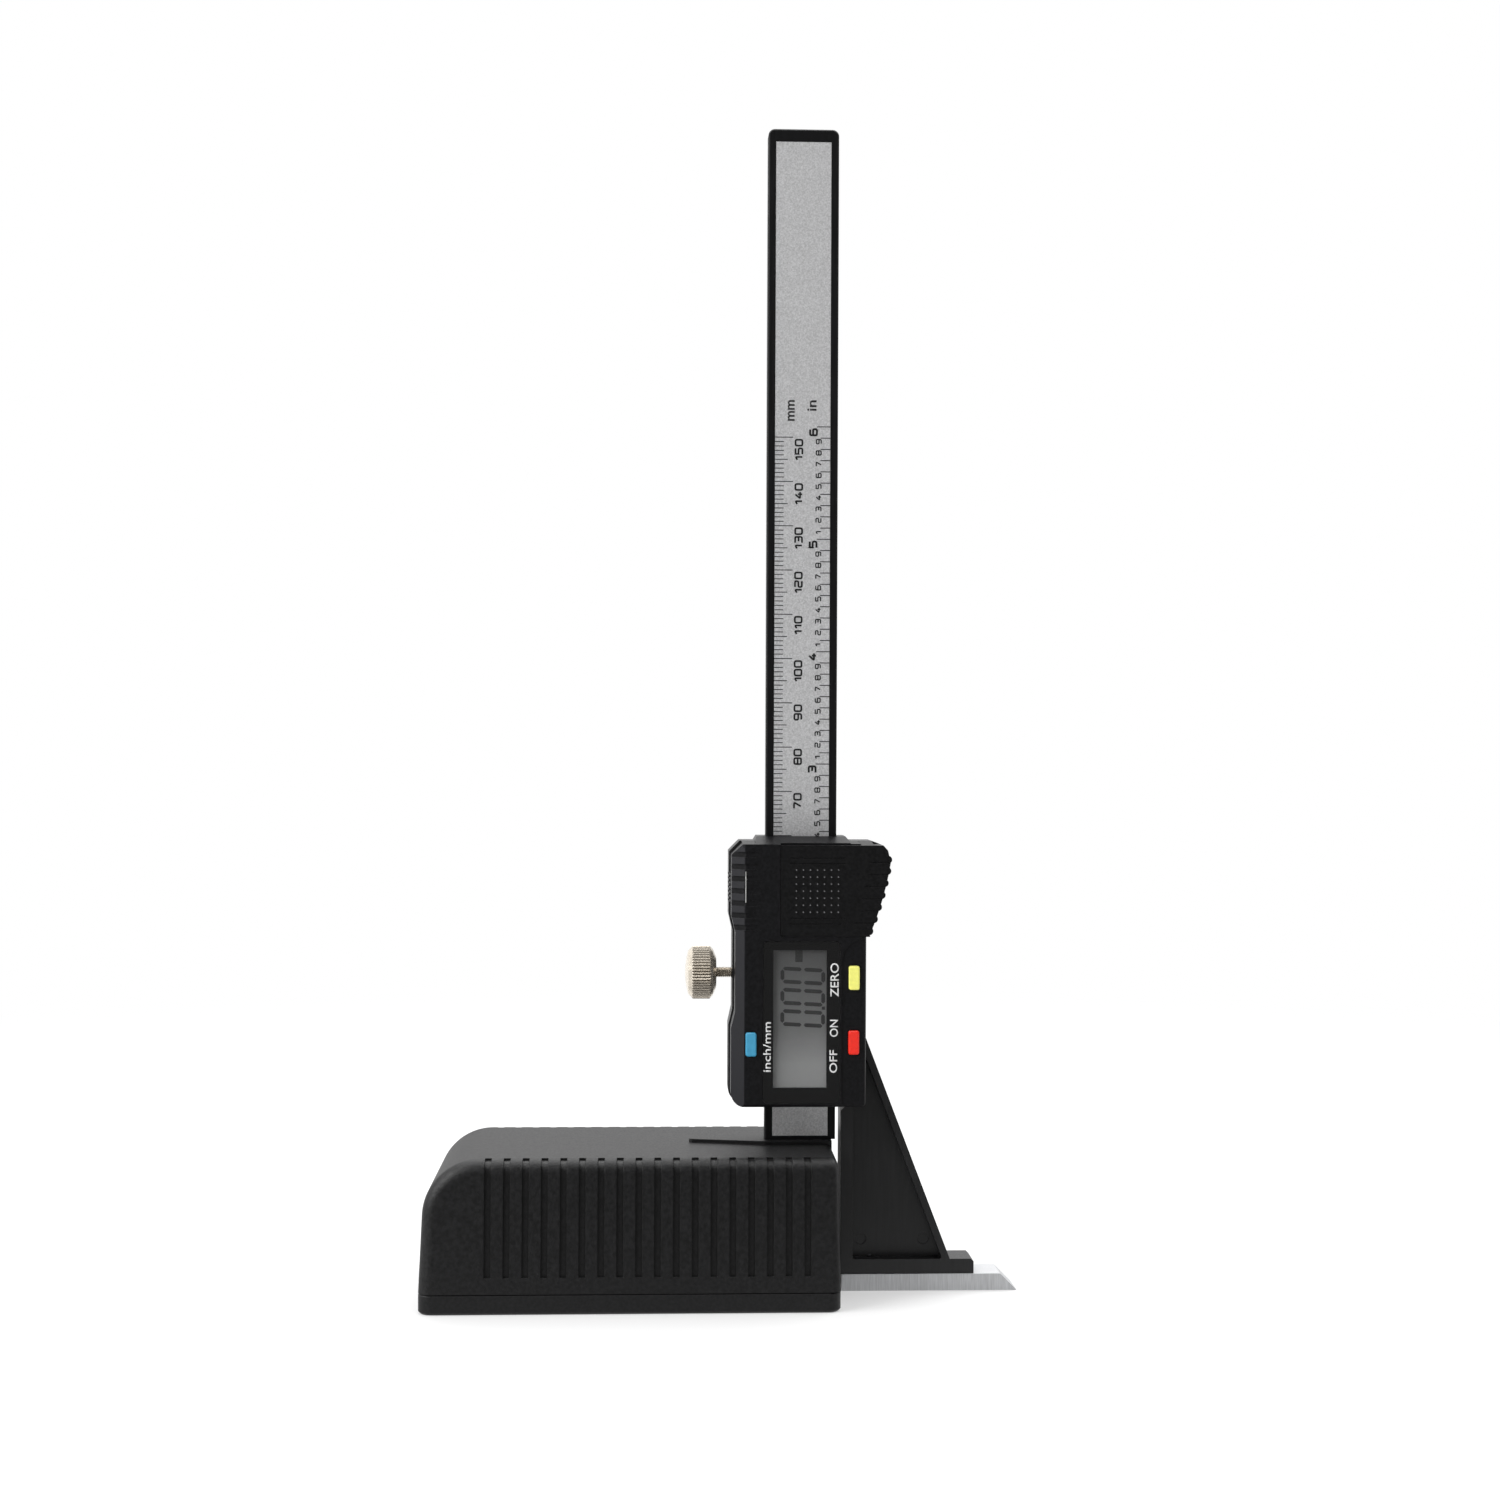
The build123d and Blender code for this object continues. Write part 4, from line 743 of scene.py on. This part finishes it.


# The bevel down the left is where the head is held. Its raised strips are painted paler than
# the notches between them, a painted highlight where they catch the light. Its plane is read
# from the part's largest face that looks to the left and the front.
SIDEWAYS = -0.3                 # such a face's normal is below this in both X and Y
housing_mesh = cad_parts["front_housing"].data
bevel_face = max((face for face in housing_mesh.polygons
                  if face.normal.x < SIDEWAYS and face.normal.y < SIDEWAYS),
                 key=lambda face: face.area)
bevel_reach = bevel_face.normal.dot(bevel_face.center)
rub(housing_abs, bevel_face.normal[:], start=bevel_reach - 0.14 * MM,
    full=bevel_reach - 0.02 * MM, colour="29292c")

# A pale strip pressed into the data port's slot beside the bevel: a painted highlight, standing
# for the bright line that light draws along the slot. It is drawn as a matt, pale,
# half-metallic plate
pale_slot_highlight_metal = metal("pale_slot_highlight", "e4e4e2", roughness=0.5, scratch_length=1 * MM,
                  scratch_width=0.2 * MM, relief=0.002 * MM, along=2, metallic=0.5)
STRIP_DEPTH = 0.12 * MM         # below the front of the housing
port_highlight_strip = bmesh.new()
oblong(port_highlight_strip, x0=-12.93 * MM, x1=-12.72 * MM, z0=87.9 * MM, z1=94.8 * MM)
print_on(port_highlight_strip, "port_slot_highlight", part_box("front_housing")[0].y + STRIP_DEPTH, pale_slot_highlight_metal,
         "slider")

# Clear polycarbonate: its refractive index is 1.585, and moulded flow leaves its
# reflections faintly uneven. Lamps shine through it, so that it shades nothing behind.
window_plastic, tree, place, shader = new_finish("clear_polycarbonate")
FLOW_MARKS = 6 * MM             # from one wave of the flow to the next
shader.inputs["Transmission Weight"].default_value = 1.0
shader.inputs["Roughness"].default_value = 0.03
shader.inputs["IOR"].default_value = 1.585
shader.inputs["Specular IOR Level"].default_value = 0.05
ripple = add_node(tree, "ShaderNodeTexNoise", {"Vector": place, "Scale": 1 / FLOW_MARKS})
flow_marks = add_node(tree, "ShaderNodeBump", {"Height": ripple.outputs["Fac"],
                                              "Distance": 0.02 * MM})
tree.links.new(flow_marks.outputs["Normal"], shader.inputs["Normal"])
through = add_node(tree, "ShaderNodeBsdfTransparent")
lamp_ray = add_node(tree, "ShaderNodeLightPath").outputs["Is Shadow Ray"]
pane = add_node(tree, "ShaderNodeMixShader",
                {"Fac": lamp_ray, 1: shader.outputs["BSDF"], 2: through.outputs["BSDF"]})
surface = find_node(window_plastic, "OUTPUT_MATERIAL")
tree.links.new(pane.outputs["Shader"], surface.inputs["Surface"])
give(window_plastic, "lcd_lens")

# ink printed behind clear plastic has no shine of its own, so it looks the blackest
back_ink, tree, place, shader = new_finish("black_back_print")
INK_PATCH = 0.5 * MM            # from one thin place in the ink to the next
coat = add_node(tree, "ShaderNodeTexNoise", {"Vector": place, "Scale": 1 / INK_PATCH})
deep_black = add_node(tree, "ShaderNodeValToRGB", {"Fac": coat.outputs["Fac"]})
deep_black.color_ramp.elements[0].color = linear("070708")
deep_black.color_ramp.elements[1].color = linear("0b0b0c")
tree.links.new(deep_black.outputs["Color"], shader.inputs["Base Color"])
shader.inputs["Specular IOR Level"].default_value = 0.0
shader.inputs["Roughness"].default_value = 0.6

lens_low, lens_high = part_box("lcd_lens")
EDGE_GAP = 0.06 * MM            # left clear round the pane's edge
BACK_PRINT = 0.02 * MM          # how far inside the pane's back the ink is drawn
WINDOW_LEFT, WINDOW_RIGHT = -6.6 * MM, 5.3 * MM
WINDOW_FOOT, WINDOW_HEAD = 46.7 * MM, 77.3 * MM
left, right = lens_low.x + EDGE_GAP, lens_high.x - EDGE_GAP
foot, head = lens_low.z + EDGE_GAP, lens_high.z - EDGE_GAP
border = bmesh.new()
oblong(border, left, WINDOW_LEFT, foot, head)
oblong(border, WINDOW_RIGHT, right, foot, head)
oblong(border, WINDOW_LEFT, WINDOW_RIGHT, foot, WINDOW_FOOT)
oblong(border, WINDOW_LEFT, WINDOW_RIGHT, WINDOW_HEAD, head)
print_on(border, "window_border", lens_high.y - BACK_PRINT, back_ink, "slider")

# pad print is thin, so the white is a little uneven over the black
white_ink, tree, place, shader = new_finish("white_pad_print")
PAD_PATCH = 0.25 * MM           # from one thin place in the print to the next
thin = add_node(tree, "ShaderNodeTexNoise", {"Vector": place, "Scale": 1 / PAD_PATCH})
cover_power = add_node(tree, "ShaderNodeValToRGB", {"Fac": thin.outputs["Fac"]})
cover_power.color_ramp.elements[0].color = linear("c8c8c8")
cover_power.color_ramp.elements[1].color = linear("f0f0f0")
tree.links.new(cover_power.outputs["Color"], shader.inputs["Base Color"])
shader.inputs["Roughness"].default_value = 0.5

words = bmesh.new()
WORDS_BOLD = 0.02 * MM
for text, left, right, foot, head in (("ZERO", 6.05, 7.93, 67.0, 74.5),
                                      ("ON", 5.97, 7.8, 58.1, 61.9),
                                      ("OFF", 5.9, 7.65, 50.1, 55.2),
                                      ("inch/mm", -8.84, -7.12, 50.35, 61.4)):
    word_upwards(words, text, left * MM, right * MM, foot * MM, head * MM, WORDS_BOLD)
print_on(words, "button_words", lens_low.y, white_ink, "slider")


# ---------------------------------------------------------------- buttons
# Three caps moulded in coloured ABS, on the dome switches behind: yellow sets zero,
# red switches on and off, blue changes between inches and millimetres.

for cap, colour in (("button_zero", "f4f27c"), ("button_power", "ec220c"),
                    ("button_units", "3c97bd")):
    # coloured ABS is glossier than the housing, and clean in colour
    cap_abs = moulded(cap.replace("button", "gloss_abs"), colour, roughness=0.35,
                      grain=0.5 * MM, relief=0.004 * MM, edge=0.25 * MM, shine=0.5,
                      mottle=0.06)
    give(cap_abs, cap)


# ---------------------------------------------------------------- battery
# The cell in its steel can, the bronze leaves that press on it, and the cover moulded
# in ABS. The cover slides over them on two rails and ends in the ribbed thumb rest.

# stamped stainless steel: bright, and a little cloudy from the press
cell_steel = metal("stamped_stainless", "c6c6c4", roughness=0.25, scratch_length=0.8 * MM,
                   scratch_width=0.8 * MM, relief=0.003 * MM, along=1)
# rolled phosphor bronze: reddish, with lines along the leaf
leaf_bronze = metal("phosphor_bronze", "c59a6a", roughness=0.3, scratch_length=2 * MM,
                    scratch_width=0.15 * MM, relief=0.003 * MM, along=0)
give(cell_steel, "coin_cell")
give(leaf_bronze, "battery_contacts")
# the housing's ABS from another mould: a shade blacker and duller
cover_abs = moulded("matt_black_abs", "121213", roughness=0.44, grain=0.3 * MM,
                    relief=0.014 * MM, edge=0.15 * MM, shine=0.2)
give(cover_abs, "battery_cover")
# painted highlight: the tips of the pips are painted pale, where they catch the light
pip_tips = -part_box("battery_cover")[0].y
rub(cover_abs, (0, -1, 0), start=pip_tips - 0.12 * MM, full=pip_tips - 0.03 * MM,
    colour="707072")


# ---------------------------------------------------------------- lock screw
# The thumb screw that pinches the gib against the beam: turned brass with a straight
# knurl, nickel-plated, so the plate is bright with a warm cast.

# nickel over turned brass: bright and warm, with faint lines left by the lathe
knob_nickel = metal("nickel_plated_brass", "f0e6d6", roughness=0.22, scratch_length=3 * MM,
                    scratch_width=0.5 * MM, relief=0.0006 * MM, along=0, metallic=0.75)
give(knob_nickel, "lock_screw")
# painted shade: the roots of the knurl and the thread are darkened in the colour, where shade
# falls in them
shelter(knob_nickel, reach=0.5 * MM, dark="3a3026", start=0.45, full=0.85)

THREAD_PITCH = 0.45 * MM
THREAD_DEPTH = 0.24 * MM
STEPS_A_TURN = 24
STEPS_A_PITCH = 6

# The knob is the CAD's own, without its plain stem; the stem is drawn with its thread.
# The stem's faces are those as near to the axis as the pad's rim, beyond the domed end.
# The thread's first ring stands on the knob's back and isn't joined to it.
DOME = 2 * MM
screw_low, screw_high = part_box("lock_screw")
axis_height = (screw_low.z + screw_high.z) / 2
stem_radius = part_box("lock_pad")[1].y
stem_limit = stem_radius * 1.01
turned = bmesh.new()
turned.from_mesh(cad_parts["lock_screw"].data)
stem_faces = [face for face in turned.faces
              if all(math.hypot(vert.co.y, vert.co.z - axis_height) < stem_limit
                     for vert in face.verts)
              and face.calc_center_median().x > screw_low.x + DOME]
knob_back = min(vert.co.x for face in stem_faces for vert in face.verts)
bmesh.ops.delete(turned, geom=stem_faces, context="FACES")
rows = math.ceil((screw_high.x - knob_back) / THREAD_PITCH * STEPS_A_PITCH)
helix = []
for row in range(rows + 1):
    x = knob_back + (screw_high.x - knob_back) * row / rows
    ring = []
    for step in range(STEPS_A_TURN):
        flank = abs(2 * ((x / THREAD_PITCH - step / STEPS_A_TURN) % 1) - 1)
        radius = stem_radius - THREAD_DEPTH * flank
        angle = math.tau * step / STEPS_A_TURN
        ring.append(turned.verts.new((x, radius * math.cos(angle),
                                      axis_height + radius * math.sin(angle))))
    helix.append(ring)
for first, second in zip(helix, helix[1:]):
    for i in range(STEPS_A_TURN):
        j = (i + 1) % STEPS_A_TURN
        turned.faces.new((first[i], first[j], second[j], second[i]))
turned.faces.new(helix[-1])
bmesh.ops.recalc_face_normals(turned, faces=turned.faces)
screw_mesh = bpy.data.meshes.new("threaded_lock_screw")
turned.to_mesh(screw_mesh)
turned.free()
screw_mesh.materials.append(knob_nickel)
threaded_screw = bpy.data.objects.new("threaded_lock_screw", screw_mesh)
bpy.context.scene.collection.objects.link(threaded_screw)
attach(threaded_screw, "lock_screw")
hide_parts("lock_screw")


# ---------------------------------------------------------------- scriber blade
# A bar of hardened stainless steel with a chisel end, surface-ground all over. Two
# screws hold it under the bracket's foot. The wheel left fine lines across its width,
# seen on the front as an upright grain.

# ground stainless steel: pale and satin, with its lines upright
blade_steel = metal("ground_tool_steel", "d2d3d5", roughness=0.5, scratch_length=4 * MM,
                    scratch_width=0.2 * MM, relief=0.006 * MM, along=2, metallic=0.6)
give(blade_steel, "scriber_blade")
# black oxide over steel: near black, with an oily shine
black_oxide = metal("black_oxide_steel", "3a3a3c", roughness=0.35, scratch_length=0.4 * MM,
                    scratch_width=0.4 * MM, relief=0.004 * MM, along=2)
cross_screws("blade_screws", "blade_cross_screws", black_oxide, "slider", UP, head_height=0,
             shank=1.25 * MM, cross=1.4 * MM, deep=1.1 * MM)


# ---------------------------------------------------------------- studio
# The gauge stands on a seamless white sweep under a broad soft box, with a second
# one low on the left that fills the front.

# the camera stands half a metre in front and 122 mm up, and looks almost level
camera_data = bpy.data.cameras.new("camera")
camera_data.lens = 52.645
camera_data.sensor_width = 36
camera_data.clip_start = 0.01
camera = bpy.data.objects.new("camera", camera_data)
camera.location = (-33.53 * MM, -496.64 * MM, 122.49 * MM)
camera.rotation_euler = [math.radians(angle) for angle in (90 - 0.09, -0.238, -2.535)]
bpy.context.scene.collection.objects.link(camera)
bpy.context.scene.camera = camera

# uncoated paper: a matt white with a faint tooth
paper, tree, place, shader = new_finish("white_sweep_paper")
TOOTH = 2 * MM                  # from one lump of the pulp to the next
pulp = add_node(tree, "ShaderNodeTexNoise", {"Vector": place, "Scale": 1 / TOOTH})
tooth = add_node(tree, "ShaderNodeBump", {"Height": pulp.outputs["Fac"],
                                         "Distance": 0.01 * MM})
shader.inputs["Base Color"].default_value = linear("ececec")
shader.inputs["Roughness"].default_value = 0.9
shader.inputs["Specular IOR Level"].default_value = 0.1
tree.links.new(tooth.outputs["Normal"], shader.inputs["Normal"])
# the sweep turns plain white away from the gauge, and keeps its shadow beside it
away = add_node(tree, "ShaderNodeVectorMath", {0: place}, operation="LENGTH")
whiteness = add_node(tree, "ShaderNodeMapRange", {
    "Value": away.outputs["Value"], "From Min": 0.1, "From Max": 0.6,
    "To Min": 0.4, "To Max": 1.0}, interpolation_type="SMOOTHSTEP")
rays = add_node(tree, "ShaderNodeLightPath").outputs
seen = add_node(tree, "ShaderNodeMath",
                {0: rays["Is Camera Ray"], 1: rays["Is Transmission Ray"]},
                operation="MAXIMUM")
share = add_node(tree, "ShaderNodeMath", {0: seen.outputs[0], 1: whiteness.outputs["Result"]},
                 operation="MULTIPLY")
plain_white = add_node(tree, "ShaderNodeEmission", {"Color": (1, 1, 1, 1), "Strength": 1.0})
direct = add_node(tree, "ShaderNodeMixShader", {
    "Fac": share.outputs[0], 1: shader.outputs["BSDF"], 2: plain_white.outputs["Emission"]})
# reflections see it white behind the gauge and flagged off in front
behind = add_node(tree, "ShaderNodeMapRange", {
    "Value": add_node(tree, "ShaderNodeSeparateXYZ", {"Vector": place}).outputs["Y"],
    "From Min": -0.12, "From Max": 0.1, "To Min": 0.25, "To Max": 1.0})
mirrored = add_node(tree, "ShaderNodeEmission", {"Color": (1, 1, 1, 1),
                                                 "Strength": behind.outputs["Result"]})
whole = add_node(tree, "ShaderNodeMixShader", {
    "Fac": rays["Is Glossy Ray"], 1: direct.outputs["Shader"],
    2: mirrored.outputs["Emission"]})
surface = find_node(paper, "OUTPUT_MATERIAL")
tree.links.new(whole.outputs["Shader"], surface.inputs["Surface"])

FLOOR = 4.0                     # metres from its middle to each edge
FLOOR_DROP = 0.05 * MM          # keeps it from cutting through the base's underside
floor_mesh = bpy.data.meshes.new("floor")
floor_mesh.from_pydata([(x, y, -FLOOR_DROP) for x, y in
                        ((-FLOOR, -FLOOR), (FLOOR, -FLOOR), (FLOOR, FLOOR), (-FLOOR, FLOOR))],
                       [], [(0, 1, 2, 3)])
floor_mesh.materials.append(paper)
floor = bpy.data.objects.new("floor", floor_mesh)
bpy.context.scene.collection.objects.link(floor)

# The room: bright behind the gauge, half as bright overhead, dim on the camera's side
world = bpy.data.worlds.new("studio")
bpy.context.scene.world = world
world.use_nodes = True
room = world.node_tree
room.nodes.clear()
direction = add_node(room, "ShaderNodeTexCoord").outputs["Generated"]
backwards = add_node(room, "ShaderNodeSeparateXYZ", {"Vector": direction}).outputs["Y"]
around = add_node(room, "ShaderNodeMapRange", {
    "Value": backwards, "From Min": -0.5, "From Max": 0.5, "To Min": 0.2, "To Max": 0.9})
strength = add_node(room, "ShaderNodeMapRange", {
    "Value": add_node(room, "ShaderNodeLightPath").outputs["Is Camera Ray"],
    "To Min": around.outputs["Result"], "To Max": 1.0})
sky = add_node(room, "ShaderNodeBackground", {
    "Color": (1, 1, 1, 1), "Strength": strength.outputs["Result"]})
add_node(room, "ShaderNodeOutputWorld", {"Surface": sky.outputs["Background"]})


def soft_box(name, size, place, aim, watts):
    """A square area lamp at place, turned to aim."""
    lamp = bpy.data.lights.new(name, "AREA")
    lamp.shape = "SQUARE"
    lamp.size = size
    lamp.energy = watts
    holder = bpy.data.objects.new(name, lamp)
    holder.location = place
    holder.rotation_euler = (Vector(aim) - Vector(place)).to_track_quat("-Z", "Y").to_euler()
    bpy.context.scene.collection.objects.link(holder)


GAUGE_MIDDLE = (0, 0, 0.1)      # where both lamps are aimed, in metres
soft_box("top_soft_box", size=1.6, place=(0.1, 0.25, 1.1), aim=GAUGE_MIDDLE, watts=18)
soft_box("left_soft_box", size=0.8, place=(-1.0, -0.45, 0.7), aim=GAUGE_MIDDLE, watts=12.5)

bpy.context.scene.view_settings.view_transform = "Standard"
